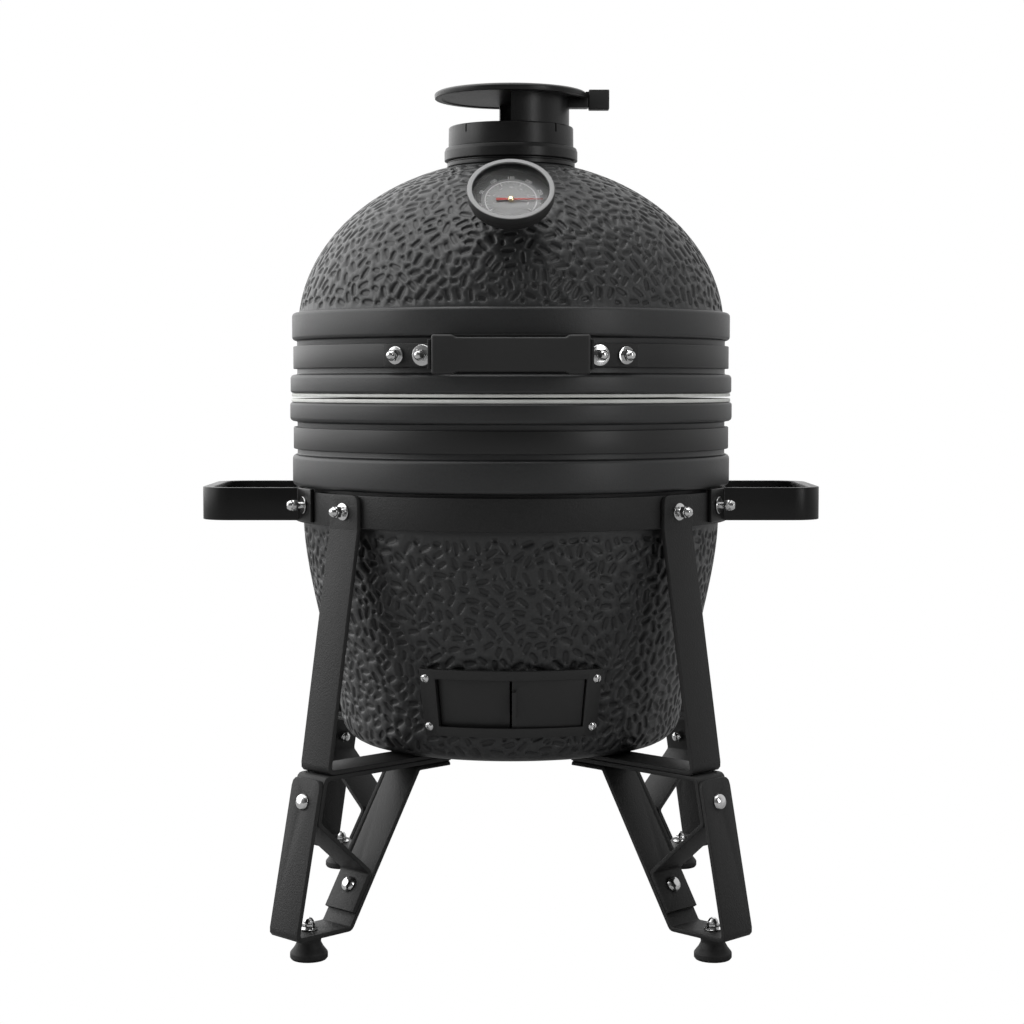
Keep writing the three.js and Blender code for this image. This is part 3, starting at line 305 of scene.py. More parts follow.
def hex_prism(radius, low, high, bevel=0.5):
    """Hexagon bar in millimetres, cut to length, with its edges eased."""
    alone()
    bpy.ops.mesh.primitive_cylinder_add(
        vertices=6, radius=radius * MM, depth=(high - low) * MM, location=(0, 0, (low + high) / 2 * MM))
    bar = bpy.context.object
    bpy.ops.object.transform_apply(location=True, rotation=True, scale=True)
    bpy.ops.object.modifier_add(type="BEVEL")
    bar.modifiers[0].width = bevel * MM
    bar.modifiers[0].segments = 2
    bpy.ops.object.modifier_apply(modifier=bar.modifiers[0].name)
    return bar


def domed_nut(seat=0.0, hex_tall=5.2, tall=10.5, radius=5.8):
    """An acorn nut standing on z = seat: a hexagon with a flange ring and a round cap."""
    body = hex_prism(radius, seat, seat + hex_tall)
    cap_radius = radius * 0.84
    cap_low = seat + hex_tall - 0.6
    cap = turned("cap", rounded([
        (0, cap_low), (cap_radius, cap_low), (cap_radius, cap_low + 1.2, 0.6),
        (cap_radius * 0.98, seat + hex_tall + 1.6, 1.4), (cap_radius * 0.62, seat + tall - 1.0, 2.0),
        (0, seat + tall)], 4), NUT_ROUND, closed=False)
    return joined("nut", body, cap)


def washer(radius, low, high, hole=3.0):
    """A flat washer with eased edges, in millimetres."""
    return turned("washer", rounded([
        (hole, low), (radius, low, 0.3), (radius, high, 0.5), (hole, high)], 3), NUT_ROUND)


def leg_frame(side, radius, height, tilt):
    """Local +Z points out of the leg at a tilt above level, for a leg on one side of the stand."""
    return (Matrix.Rotation(math.radians(side), 4, "Z") @ Matrix.Translation((radius * MM, 0, height * MM))
            @ Matrix.Rotation(math.radians(90 - tilt), 4, "Y"))


foot_outline = rounded([
    (0, 0), (FOOT_RADIUS - 1.5, 0, 1.2), (FOOT_RADIUS, 2.0, 1.0), (FOOT_RADIUS, 6.5, 2.5),
    (13.6, 11.5, 4.0), (11.2, 16.0, 2.5), (11.8, FOOT_TALL, 0.8), (0, FOOT_TALL)], 5)
foot_bell = turned("foot_bell", foot_outline, 96, closed=False)
foot_nut = domed_nut(28.6)
foot_washer = washer(8.1, 27.3, 28.7)
foot_stud = turned("stud", [(0, FOOT_TALL - 1), (3, FOOT_TALL - 1), (3, 29.5), (0, 29.5)], 32, closed=False)
foot_fixing = joined("foot_fixing", foot_nut, foot_washer, foot_stud)
for name, side in SIDES.items():
    low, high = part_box("foot_" + name)
    centre = Matrix.Translation(((low.x + high.x) / 2, (low.y + high.y) / 2, 0))
    bell = smoothed(placed(foot_bell, "foot_bell_" + name, centre))
    fitted(bell, rubber, "rubber", "base", "foot_" + name)
    turn = Matrix.Rotation(math.radians(side), 4, "Z")
    nut = smoothed(placed(foot_fixing, "foot_nut_" + name, centre @ turn), 30)
    fitted(nut, chrome, "bright", "base", "foot_" + name)
for pattern in (foot_bell, foot_fixing):
    bpy.data.objects.remove(pattern)

# ---- Stand legs ----
# Each leg is three bent flat bars: an upper leg with its arm under the bowl, a bracket with a
# diagonal strut, and a foot strap. They are powder coated, with soft bends and a fine orange peel.
powder = finish("powder_coat", grey(0.013), grey(0.024), (0.42, 0.58), 620, 0.9, patch=9, depth=0.0004,
                shine=0.3)


def softened(node, edge, degrees=40, segments=3, suffix="_bar"):
    """A copy of a CAD node with merged corners and eased edges."""
    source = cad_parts[node]
    piece = bpy.data.objects.new(node + suffix, source.data.copy())
    bpy.context.collection.objects.link(piece)
    alone(piece)
    bpy.ops.mesh.customdata_custom_splitnormals_clear()
    bpy.ops.object.mode_set(mode="EDIT")
    bpy.ops.mesh.select_all(action="SELECT")
    bpy.ops.mesh.remove_doubles(threshold=1e-5)
    bpy.ops.mesh.dissolve_limited(angle_limit=math.radians(1))
    bpy.ops.object.mode_set(mode="OBJECT")
    bpy.ops.object.modifier_add(type="BEVEL")
    bevel = piece.modifiers[0]
    bevel.width = edge * MM
    bevel.segments = segments
    bevel.limit_method = "ANGLE"
    bevel.angle_limit = math.radians(degrees)
    bevel.use_clamp_overlap = False
    bpy.ops.object.modifier_apply(modifier=bevel.name)
    return smoothed(piece, degrees)


for name in SIDES:
    for part in ("foot_strap_", "strut_bracket_", "upper_leg_"):
        fitted(softened(part + name, 0.7), powder, "powder", "base", part + name)

# ---- Stand bolts ----
# Domed chrome bolts clamp the straps, and studs with domed nuts hold the upper legs to the ring.
# Each is modelled once and set square to the bar that it passes through.
HEAD_RADIUS = 7.7
HEAD_TALL = 5.3
SHANK = 3.0
STUD_TALL = 16.3
STUD_NUT_LOW = 5.3


def spine(node):
    """A bolt's middle, its axis away from the grill, and its reach along that, from its CAD node."""
    points = np.array([v.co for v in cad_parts[node].data.vertices])
    middle = points.mean(0)
    axis = Vector(np.linalg.svd(points - middle)[2][0])
    if axis.dot(Vector((middle[0], middle[1], 0))) < 0:
        axis.negate()
    along = (points - middle) @ np.array(axis)
    return Vector(middle), axis, along.max()


def on_spine(node, head):
    """The frame of a bolt whose seat is one head's height under the end of its spine."""
    middle, axis, far = spine(node)
    square_on = axis.to_track_quat("Z", "X").to_matrix().to_4x4()
    return Matrix.Translation(middle + axis * (far - head * MM)) @ square_on


CLAMPED = 9.7
bolt_head = turned("head", rounded([
    (0, 0), (HEAD_RADIUS, 0, 0.3), (HEAD_RADIUS, 1.1, 0.5), (HEAD_RADIUS * 0.86, 3.4, 3.0),
    (HEAD_RADIUS * 0.42, HEAD_TALL - 0.25, 3.0), (0, HEAD_TALL)], 5), 64, closed=False)
bolt_shank = turned(
    "shank", [(0, -CLAMPED - 6), (SHANK, -CLAMPED - 6), (SHANK, 0.2), (0, 0.2)], 32, closed=False)
bolt_nut = domed_nut(0, 5, 8.5)
bolt_nut.data.transform(Matrix.Rotation(math.pi, 4, "X") @ Matrix.Translation((0, 0, CLAMPED * MM)))
bolt = joined("bolt", bolt_head, bolt_shank, bolt_nut)
THREAD_DEEP = 0.35
THREAD_STEP = 0.5


def stud_bar(low, high, crests):
    """A plain shank with a cut thread above the washer, in millimetres."""
    thread = [(SHANK - THREAD_DEEP * (k % 2), 1.5 + THREAD_STEP * k) for k in range(crests)]
    return turned("stud", [(0, low), (SHANK, low)] + thread + [(0, high)], 32, closed=False)


stud = joined("stud", stud_bar(-12, 6, 9), washer(8.1, 0.3, 1.9), domed_nut(STUD_NUT_LOW, 5.4, 11.0))
for name in SIDES:
    for part in ("outer_bolt_", "inner_bolt_"):
        copy = smoothed(placed(bolt, part + name + "_domed", on_spine(part + name, HEAD_TALL)), 30)
        fitted(copy, chrome, "bright", "base", part + name)
    copy = smoothed(placed(stud, "ring_stud_" + name, on_spine("ring_bolt_" + name, STUD_TALL)), 30)
    fitted(copy, chrome, "bright", "base", "ring_bolt_" + name)
for pattern in (bolt, stud):
    bpy.data.objects.remove(pattern)

# ---- Stand ring ----
# A rolled flat bar hoop under the bowl's thick lip, powder coated with the legs.


def hoop(node, name, thick, edge, material, slot, body, shy=(0, 0)):
    """A ring of the CAD ring's radius and height, cut short at its foot and top by the two values of shy."""
    low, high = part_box(node)
    outside, foot, top = high.x / MM, low.z / MM + shy[0], high.z / MM - shy[1]
    piece = smoothed(turned(name, rounded([
        (outside - thick, foot, edge), (outside, foot, edge), (outside, top, edge),
        (outside - thick, top, edge)], 3)))
    return fitted(piece, material, slot, body, node)


hoop("stand_ring", "stand_hoop", 4.0, 0.8, powder, "powder", "base")

# ---- Ceramic bowl ----
# Thick slip-cast ceramic under a dark glaze. Its side is covered in shallow pressed hollows of
# mixed length, and plain lips above leave the grooves that take the steel bands.
BOWL_WALL = 24.0
HOLLOW_FOOT_R = 125.0
HOLLOW_SIZES = ((6.6, 3.0, 9000), (5.6, 3.0, 14000), (4.7, 2.8, 20000), (3.8, 2.6, 24000), (3.0, 2.3, 20000))
HOLLOW_GAP = 1.3
HOLLOW_DEEP = 1.35
CELL = 10.0


def glaze_finish():
    """Dark glaze: the hollow attribute darkens each pressed hollow with painted shade, and a fine pitting
    breaks the gloss.
    """
    material = finish("dark_glaze", grey(0.019, -0.02), grey(0.031, -0.02), (0.34, 0.5), 620, 0.35, patch=7,
                      depth=0.0003)
    tree = material.node_tree
    shader = tree.nodes["Principled BSDF"]
    tones = tree.nodes["Color Ramp"]
    hollow = tree.nodes.new("ShaderNodeAttribute")
    hollow.attribute_name = "hollow"
    # Painted shade: the glaze colour is multiplied darker where the hollow attribute is high, on each
    # hollow's floor.
    shade = tree.nodes.new("ShaderNodeMix")
    shade.data_type = "RGBA"
    shade.blend_type = "MULTIPLY"
    shade.inputs["B"].default_value = (0.36, 0.36, 0.37, 1)
    tree.links.new(hollow.outputs["Fac"], shade.inputs["Factor"])
    tree.links.new(tones.outputs["Color"], shade.inputs["A"])
    tree.links.new(shade.outputs["Result"], shader.inputs["Base Color"])
    return material


glaze = glaze_finish()


def hollow_places(path, reach, seed):
    """Packs hollows of falling size over the turned surface, as (s, angle, turn, half, wide)."""
    chooser = np.random.default_rng(seed)
    radius, height = path[:, 0], path[:, 1]
    area = np.concatenate(([0], np.cumsum((radius[1:] + radius[:-1]) / 2 * np.diff(reach))))
    cells = {}
    places = []
    for half, wide, tries in HOLLOW_SIZES:
        draws = chooser.random((tries, 4))
        rows_drawn = np.interp(draws[:, 0] * area[-1], area, reach)
        long = half * (0.9 + 0.2 * draws[:, 3])
        turn = draws[:, 2] * math.pi
        angle = draws[:, 1] * math.tau
        along = (long - wide)[:, None] * np.array((-1, 0, 1))
        rows = rows_drawn[:, None] + along * np.cos(turn)[:, None]
        ring_r = np.interp(rows, reach, radius)
        bearing = angle[:, None] + along * np.sin(turn)[:, None] / ring_r
        level = np.interp(rows, reach, height)
        spots = np.stack((ring_r * np.cos(bearing), ring_r * np.sin(bearing), level), 2)
        room_needed = long * np.abs(np.cos(turn)) + wide + 0.8
        fits = (rows_drawn > room_needed) & (rows_drawn < reach[-1] - room_needed)
        for i in np.flatnonzero(fits):
            homes = [tuple(int(c // CELL) for c in spot) for spot in spots[i]]
            if all(clear_of(cells, home, spot, wide) for home, spot in zip(homes, spots[i].tolist())):
                for home, spot in zip(homes, spots[i].tolist()):
                    cells.setdefault(home, []).append((*spot, wide))
                places.append((rows_drawn[i], angle[i], turn[i], long[i], wide))
    return np.array(places), chooser


def clear_of(cells, home, spot, wide):
    """True if no placed disc lies within its own radius, this one and a ridge of the spot."""
    for dx in (-1, 0, 1):
        for dy in (-1, 0, 1):
            for dz in (-1, 0, 1):
                for x, y, z, other in cells.get((home[0] + dx, home[1] + dy, home[2] + dz), ()):
                    room_needed = other + wide + HOLLOW_GAP
                    if (x - spot[0]) ** 2 + (y - spot[1]) ** 2 + (z - spot[2]) ** 2 < room_needed ** 2:
                        return False
    return True


def pressed_side(name, path, seed):
    """The hollowed surface turned from a path of (r, z) in millimetres, whose edges match a turned shell."""
    path = np.array(path)
    reach = np.concatenate(([0], np.cumsum(np.hypot(*np.diff(path, axis=0).T))))
    places, chooser = hollow_places(path, reach, seed)
    s, angle, turn, long, wide = (column[:, None] for column in places.T)
    phase = chooser.random((len(places), 2)) * math.tau
    rows, bearings, depths, edges, count = [], [], [], [], 0
    for offset, depth, points in ((0.45, 0.0, 12), (-0.25, 0.5, 12), (-1.15, 1.0, 8)):
        phi = np.arange(points)[None, :] * math.tau / points
        wobble = 1 + 0.035 * np.sin(2 * phi + phase[:, :1]) + 0.03 * np.sin(3 * phi + phase[:, 1:])
        u = np.sign(np.cos(phi)) * np.abs(np.cos(phi)) ** 0.72 * (long + offset) * wobble
        v = np.sign(np.sin(phi)) * np.abs(np.sin(phi)) ** 0.72 * (wide + offset) * wobble
        rows.append((s + u * np.cos(turn) - v * np.sin(turn)).ravel())
        radius_here = np.interp(s, reach, path[:, 0])
        bearings.append((angle + (u * np.sin(turn) + v * np.cos(turn)) / radius_here).ravel())
        depths.append(np.full(rows[-1].shape, depth))
        index = count + np.arange(len(places) * points).reshape(-1, points)
        edges.append(np.stack((index.ravel(), np.roll(index, -1, axis=1).ravel()), 1))
        count += index.size
    for share in (-0.55, 0.0, 0.55):
        u = share * (long - 1)
        rows.append((s + u * np.cos(turn)).ravel())
        bearings.append((angle + u * np.sin(turn) / np.interp(s, reach, path[:, 0])).ravel())
        depths.append(np.full(len(places), 0.88))
        count += len(places)
    for end in (0.0, reach[-1]):
        rows.append(np.full(ROUND, end))
        bearings.append(np.arange(ROUND) * math.tau / ROUND)
        depths.append(np.zeros(ROUND))
        index = count + np.arange(ROUND)
        edges.append(np.stack((index, np.roll(index, -1)), 1))
        count += ROUND
    rows, bearings, depths = (np.concatenate(part) for part in (rows, bearings, depths))
    spread = np.concatenate(([0], np.cumsum(np.diff(reach) * 2 / (path[1:, 0] + path[:-1, 0]))))
    flat = np.exp(np.interp(rows, reach, spread))
    flat_points = [Vector(point) for point in np.stack((flat * np.cos(bearings), flat * np.sin(bearings)), 1)]
    corners, _, faces, *_ = delaunay_2d_cdt(
        flat_points, np.concatenate(edges).tolist(), [], 0, 1e-7, False)
    crossed = len(corners) - count
    depths = np.concatenate((depths, np.full(crossed, 0.5)))
    flat_points = np.array(corners)
    rows = np.interp(np.log(np.hypot(*flat_points.T)), spread, reach)
    bearings = np.arctan2(flat_points[:, 1], flat_points[:, 0])
    slope = np.gradient(path, reach, axis=0)
    radius = np.interp(rows, reach, path[:, 0])
    height = np.interp(rows, reach, path[:, 1])
    out_r = np.interp(rows, reach, slope[:, 1])
    out_z = -np.interp(rows, reach, slope[:, 0])
    facing = 1 if out_r[0] > 0 else -1
    sink = depths * HOLLOW_DEEP * facing
    radius = radius - sink * out_r
    height = height - sink * out_z
    solid = np.stack((radius * np.cos(bearings), radius * np.sin(bearings), height), 1) * MM
    inside = set(range(count - 2 * ROUND, count - ROUND))
    kept = [face for face in faces if not inside.issuperset(face)]
    mesh = bpy.data.meshes.new(name)
    mesh.from_pydata(solid.tolist(), [], kept)
    # The hollow depth is kept as an attribute that paints shade into each hollow through the glaze.
    hollow_shade = mesh.attributes.new("hollow", "FLOAT", "POINT")
    hollow_shade.data.foreach_set("value", depths.astype(np.float32))
    piece = bpy.data.objects.new(name, mesh)
    bpy.context.collection.objects.link(piece)
    return piece


def sewn(name, shell, side):
    """Joins a shell and its hollowed side along their shared edges."""
    shell.data.attributes.new("hollow", "FLOAT", "POINT")
    piece = joined(name, shell, side)
    alone(piece)
    bpy.ops.object.mode_set(mode="EDIT")
    bpy.ops.mesh.select_all(action="SELECT")
    bpy.ops.mesh.remove_doubles(threshold=5e-6)
    bpy.ops.mesh.normals_make_consistent(inside=False)
    bpy.ops.object.mode_set(mode="OBJECT")
    return piece


def curve_points(start, first, second, end, steps):
    """Points of a cubic Bezier curve in millimetres."""
    points = []
    for k in range(steps + 1):
        t = k / steps
        points.append(tuple((1 - t) ** 3 * a + 3 * (1 - t) ** 2 * t * b + 3 * (1 - t) * t * t * c + t ** 3 * d
                            for a, b, c, d in zip(start, first, second, end)))
    return points


shell_low, shell_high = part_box("base_shell")
rim_r = shell_high.x / MM
rim_top = shell_high.z / MM
bowl_foot = shell_low.z / MM
ring_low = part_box("stand_ring")[0].z / MM
ring_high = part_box("stand_ring")[1].z / MM
groove_r = rim_r - 7.1
waist_r = rim_r - 12.9
corner_r = 28.0
side_foot_r = 170.0
side_low = bowl_foot + corner_r
side_high = ring_low - 3.1
swell = waist_r - side_foot_r
rise = side_high - side_low


def bowl_side(inset, steps):
    return curve_points(
        (side_foot_r - inset, side_low), (side_foot_r + 0.27 * swell - inset, side_low + 0.31 * rise),
        (waist_r - 0.04 * swell - inset, side_low + 0.72 * rise), (waist_r - inset, side_high), steps)


corner_arc = [(side_foot_r - corner_r + corner_r * math.sin(k * math.pi / 16),
               bowl_foot + corner_r - corner_r * math.cos(k * math.pi / 16)) for k in range(9)]
pressed_path = corner_arc[3:] + bowl_side(0, 40)[1:]
thick_low = ring_high + 3.4
thick_high = thick_low + 30.5
base_lip_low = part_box("lower_band")[1].z / MM + 5.7
floor_top = bowl_foot + 25.7
inner_side = list(reversed(bowl_side(BOWL_WALL, 14)))
bowl_outline = rounded([
    pressed_path[-1], (waist_r, thick_low, 1.2), (rim_r - 2.3, thick_low, 4.0),
    (rim_r - 2.3, thick_high, 4.0), (groove_r, thick_high, 1.5),
    (groove_r, base_lip_low, 1.5), (rim_r, base_lip_low, 4.0), (rim_r, rim_top, 2.5),
    (waist_r - BOWL_WALL, rim_top, 4.0), inner_side[0]], 4)
floor_r = side_foot_r - BOWL_WALL
bowl_outline += inner_side[1:] + [
    (floor_r - 6, floor_top + 6), (floor_r - 16, floor_top), (0, floor_top), (0, bowl_foot + 8),
    (HOLLOW_FOOT_R - 1.5, bowl_foot + 8), (HOLLOW_FOOT_R, bowl_foot + 6.5), (HOLLOW_FOOT_R, bowl_foot + 1.5),
    (HOLLOW_FOOT_R + 1.5, bowl_foot)] + corner_arc[:4]
bowl_shell = turned("bowl_shell", bowl_outline, closed=False)
bowl_side_piece = pressed_side("bowl_side", pressed_path, 11)
bowl = sewn("bowl", bowl_shell, bowl_side_piece)
fitted(smoothed(bowl, 50), glaze, "ceramic", "base", "base_shell")

# ---- Fire box, grate, fire ring and cooking grid ----
# Cordierite liners stand loose in the bowl: a tapered fire box with a ledge for its iron grate, and a
# ring on top of it that carries the round steel cooking grid.
cordierite = finish("cordierite", (0.42, 0.36, 0.29), (0.60, 0.54, 0.45), (0.85, 0.95), 700, 0.6, patch=16,
                    depth=0.0006)
iron = finish("grate_iron", grey(0.018), grey(0.040), (0.6, 0.8), 500, 0.6, patch=30, depth=0.0005)
wire = finish("grid_steel", grey(0.42), grey(0.56), (0.22, 0.38), 300, 0.15, metal=1.0, patch=40,
              stretch=(6, 1, 6))
LINER = 18.0
LEDGE_RISE = 60.0
LEDGE_WIDE = 20.0
PORT_HALF = 20.0


def swept(name, outline, start, end, steps):
    """A solid slice: a closed outline of (r, z) in millimetres turned from one bearing to another."""
    piece = drawn(name, list(outline) + [outline[0]])
    bpy.ops.mesh.remove_doubles(threshold=1e-6)
    bpy.ops.mesh.select_all(action="SELECT")
    bpy.ops.mesh.edge_face_add()
    bpy.ops.mesh.spin(steps=steps, angle=math.radians(end - start), center=(0, 0, 0), axis=(0, 0, 1))
    bpy.ops.mesh.select_all(action="SELECT")
    bpy.ops.mesh.remove_doubles(threshold=1e-6)
    bpy.ops.mesh.normals_make_consistent(inside=False)
    bpy.ops.object.mode_set(mode="OBJECT")
    turned_way = np.array([v.co for v in piece.data.vertices]).mean(0)[1]
    lean = start if turned_way >= 0 else end
    piece.data.transform(Matrix.Rotation(math.radians(lean), 4, "Z"))
    return piece


def carved(piece, tool):
    """Cuts the tool out of the piece and removes the tool."""
    alone(piece)
    bpy.ops.object.modifier_add(type="BOOLEAN")
    piece.modifiers[0].operation = "DIFFERENCE"
    piece.modifiers[0].object = tool
    piece.modifiers[0].solver = "EXACT"
    bpy.ops.object.modifier_apply(modifier=piece.modifiers[0].name)
    bpy.data.objects.remove(tool)
    return piece


def port_tool():
    """The air way through the front wall behind the draft doors."""
    low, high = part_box("draft_frame")
    foot, top = low.z / MM + 11, high.z / MM - 11
    outline = [(60, foot), (230, foot), (230, top), (60, top)]
    return swept("port", outline, -90 - PORT_HALF, -90 + PORT_HALF, 12)


carved(bowl, port_tool())
smoothed(bowl, 50)

box_low, box_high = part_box("fire_box")
box_foot, box_top, box_top_r = box_low.z / MM, box_high.z / MM, box_high.x / MM
box_foot_r = box_top_r - 34
ledge_z = box_foot + LEDGE_RISE
ledge_r = box_foot_r + (box_top_r - box_foot_r) * LEDGE_RISE / (box_top - box_foot) - LINER
fire_box = turned("fire_box_liner", rounded([
    (ledge_r - LEDGE_WIDE, box_foot, 3), (box_foot_r, box_foot, 4), (box_top_r, box_top, 4),
    (box_top_r - LINER, box_top, 4), (ledge_r, ledge_z, 2), (ledge_r - LEDGE_WIDE, ledge_z, 3)], 3), 128)
fitted(smoothed(carved(fire_box, port_tool())), cordierite, "firebrick", "base", "fire_box")
hoop("fire_ring", "fire_ring_liner", 24.0, 5.0, cordierite, "firebrick", "base")
fitted(softened("charcoal_grate", 0.8, suffix="_plate"), iron, "cast", "base", "charcoal_grate")

grid_low, grid_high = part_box("cooking_grid")
grid_wire = (grid_high.z - grid_low.z) / 2
grid_radius = grid_high.x - grid_wire
grid_level = grid_low.z + grid_wire
GRID_PITCH = 0.015
alone()
bpy.ops.mesh.primitive_torus_add(
    location=(0, 0, grid_level), major_radius=grid_radius, minor_radius=grid_wire, major_segments=128,
    minor_segments=12)
grid = bpy.context.object
bpy.ops.object.transform_apply(location=True, rotation=True, scale=True)
bars = []
count = int((grid_radius - grid_wire) / GRID_PITCH)
for k in range(-count, count + 1):
    across = k * GRID_PITCH
    bpy.ops.object.select_all(action="DESELECT")
    bpy.ops.mesh.primitive_cylinder_add(
        vertices=12, radius=grid_wire * 0.7, depth=2 * math.sqrt(grid_radius ** 2 - across ** 2),
        location=(across, 0, grid_level), rotation=(math.pi / 2, 0, 0))
    bpy.ops.object.transform_apply(location=True, rotation=True, scale=True)
    bars.append(bpy.context.object)
grid = joined("cooking_grid_wires", grid, *bars)
fitted(smoothed(grid, 50), wire, "wire", "base", "cooking_grid")

# ---- Draft frame and doors ----
# A pressed steel frame follows the bowl round its air way, held by a button head screw in each corner.
# Two curved doors slide in its tracks, and the right one carries a small pull tab.
draft_coat = finish("draft_coat", grey(0.009), grey(0.016), (0.38, 0.52), 1100, 0.3, patch=12)
SCREW_RADIUS = 4.3
fitted(softened("draft_frame", 0.35, suffix="_pressing"), draft_coat, "black_steel", "base", "draft_frame")
for side in ("right", "left"):
    node = "draft_door_" + side
    fitted(softened(node, 0.3, suffix="_panel"), draft_coat, "black_steel", "door_" + side, node)

frame_low, frame_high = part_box("draft_frame")
screw = turned("screw", rounded([
    (0, -2), (2.4, -2), (2.4, 0), (SCREW_RADIUS, 0, 0.3), (SCREW_RADIUS - 0.4, 1.4, 1.0),
    (2.2, 2.4, 0.6), (0, 2.5)], 4), 40, closed=False)
screw = smoothed(carved(screw, hex_prism(2.0, 0.6, 4.0, 0.05)), 30)
FRAME_CONE = 0.205
FRAME_LEAN = 11.685
FRAME_RADIUS = 188
SCREW_INSET = 8.8
SCREW_INSET_TURN = 2.3
SCREW_SUNK = 1.0
screw_turn = math.degrees(math.asin(frame_high.x / MM / FRAME_RADIUS)) - SCREW_INSET_TURN
screw_levels = {"low": frame_low.z / MM + SCREW_INSET, "high": frame_high.z / MM - SCREW_INSET}
for turn_name, turn in (("left", -1), ("right", 1)):
    for level_name, height in screw_levels.items():
        outside = -frame_low.y / MM - (frame_high.z / MM - height) * FRAME_CONE
        spot = leg_frame(-90 + turn * screw_turn, outside - SCREW_SUNK, height, -FRAME_LEAN)
        copy = placed(screw, f"draft_screw_{turn_name}_{level_name}", spot)
        fitted(copy, chrome, "bright", "base")
bpy.data.objects.remove(screw)

# ---- Steel bands and felt seals ----
# Black steel bands sit in the grooves of bowl and lid, and two pale felt rings meet at the rim.
band_coat = finish("band_coat", grey(0.008), grey(0.013), (0.36, 0.46), 1300, 0.15, patch=8)
felt = finish("seal_felt", (0.66, 0.67, 0.64), (0.82, 0.83, 0.80), (0.9, 1.0), 1500, 0.8, patch=90,
              depth=0.0004)
hoop("lower_band", "lower_hoop", 3.5, 0.8, band_coat, "band", "base")
hoop("upper_band", "upper_hoop", 3.5, 0.8, band_coat, "band", "lid")
hoop("base_gasket", "lower_seal", 22.0, 1.0, felt, "felt", "base", (0, 0.5))
hoop("lid_gasket", "upper_seal", 22.0, 1.0, felt, "felt", "lid", (1.0, 0))

# ---- Side handles ----
# Each is one bent flat bar in a U, satin black, whose ends wrap the stand ring under a domed nut.
satin_black = finish("satin_black", grey(0.004), grey(0.008), (0.3, 0.42), 1200, 0.12, patch=10, shine=0.3)
SIDE_NUT_TURN = 64.5
ring_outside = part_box("stand_ring")[1].x / MM
nut_seat = ring_outside + 4.2
ring_middle = (ring_low + ring_high) / 2
side_stud = joined("side_stud", stud_bar(-3, 7.4, 12), washer(8.1, 0.1, 1.7), domed_nut(6.8, 5.4, 11.0))
for side_name in ("right", "left"):
    node = "side_handle_" + side_name
    fitted(softened(node, 0.8), satin_black, "black_steel", "base", node)
    for end_name, turn in (("front", SIDE_NUT_TURN), ("rear", 180 - SIDE_NUT_TURN)):
        bearing = -90 + (turn if side_name == "right" else -turn)
        spot = leg_frame(bearing, nut_seat, ring_middle + 2.7, 0)
        copy = smoothed(placed(side_stud, f"side_nut_{side_name}_{end_name}", spot), 30)
        fitted(copy, chrome, "bright", "base")

# ---- Ceramic lid ----
# The dome is cast and glazed like the bowl, with the same pressed hollows between a plain shoulder
# at the rim and a raised land round the chimney.
lid_low, lid_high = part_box("lid_shell")
lid_foot, neck_top = lid_low.z / MM, lid_high.z / MM
shoulder_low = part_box("upper_band")[1].z / MM + 5.7
shoulder_high = shoulder_low + 27
SIDE_ABOVE = 16.0
dome_centre = shoulder_high - SIDE_ABOVE
dome_a, dome_b = rim_r - 8.3, 167.0
vault_a, vault_b = waist_r - BOWL_WALL, 143.0
NECK = 62.4
CHIMNEY = 44.0
neck_angle, side_angle = math.acos(NECK / dome_a), math.asin(SIDE_ABOVE / dome_b)
dome_angles = [neck_angle + (side_angle - neck_angle) * k / 60 for k in range(61)]
dome_path = [(dome_a * math.cos(a), dome_centre + dome_b * math.sin(a)) for a in dome_angles]
vault = [(vault_a * math.cos(a), dome_centre + vault_b * math.sin(a))
         for a in np.linspace(0, math.acos(CHIMNEY / vault_a), 24)]
lid_outline = rounded([
    dome_path[-1], (rim_r - 2.3, shoulder_high, 3.5), (rim_r - 2.3, shoulder_low, 3.5),
    (groove_r, shoulder_low, 1.5), (groove_r, lid_foot + 18, 1.5), (rim_r - 0.5, lid_foot + 18, 4.0),
    (rim_r - 0.5, lid_foot, 2.5), (vault_a, lid_foot, 4.0), vault[0]], 4)
lid_outline += vault[1:-1]
lid_outline += rounded([vault[-1], (CHIMNEY, neck_top, 1.5), (NECK - 2.1, neck_top, 1.5), dome_path[0]], 3)
lid_shell = turned("lid_shell_plain", lid_outline, closed=False)
lid = sewn("lid_dome", lid_shell, pressed_side("lid_side", dome_path, 23))
fitted(smoothed(lid, 50), glaze, "ceramic", "lid", "lid_shell")

# ---- Lift handle ----
# A moulded grip with thick end blocks between two bent steel arms, which wrap the upper band under
# two domed nuts each. The inner pair stands on large washers.
grip_black = finish("grip_moulding", grey(0.014), grey(0.021), (0.5, 0.62), 1000, 0.25, patch=14)
fitted(softened("handle_grip", 2.2, degrees=25, segments=4, suffix="_moulding"), grip_black, "grip", "lid",
       "handle_grip")
band_middle = (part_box("upper_band")[0].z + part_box("upper_band")[1].z) / 2 / MM
lift_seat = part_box("upper_band")[1].x / MM + 3.3
lift_nut = joined("lift_nut", washer(8.1, 0.1, 1.7), domed_nut(1.7, 5.4, 11.0))
lift_wide_nut = joined("lift_wide_nut", washer(9.6, 0.1, 1.9), domed_nut(1.9, 5.4, 11.0))
for side_name, way in (("right", 1), ("left", -1)):
    node = "handle_arm_" + side_name
    fitted(softened(node, 0.6), powder, "powder", "lid", node)
    for pattern, turn, spot_name in ((lift_wide_nut, 21.3, "inner"), (lift_nut, 28.4, "outer")):
        spot = leg_frame(-90 + way * turn, lift_seat, band_middle, 0)
        copy = smoothed(placed(pattern, f"lift_nut_{side_name}_{spot_name}", spot), 30)
        fitted(copy, chrome, "bright", "lid")
for pattern in (side_stud, lift_nut, lift_wide_nut):
    bpy.data.objects.remove(pattern)

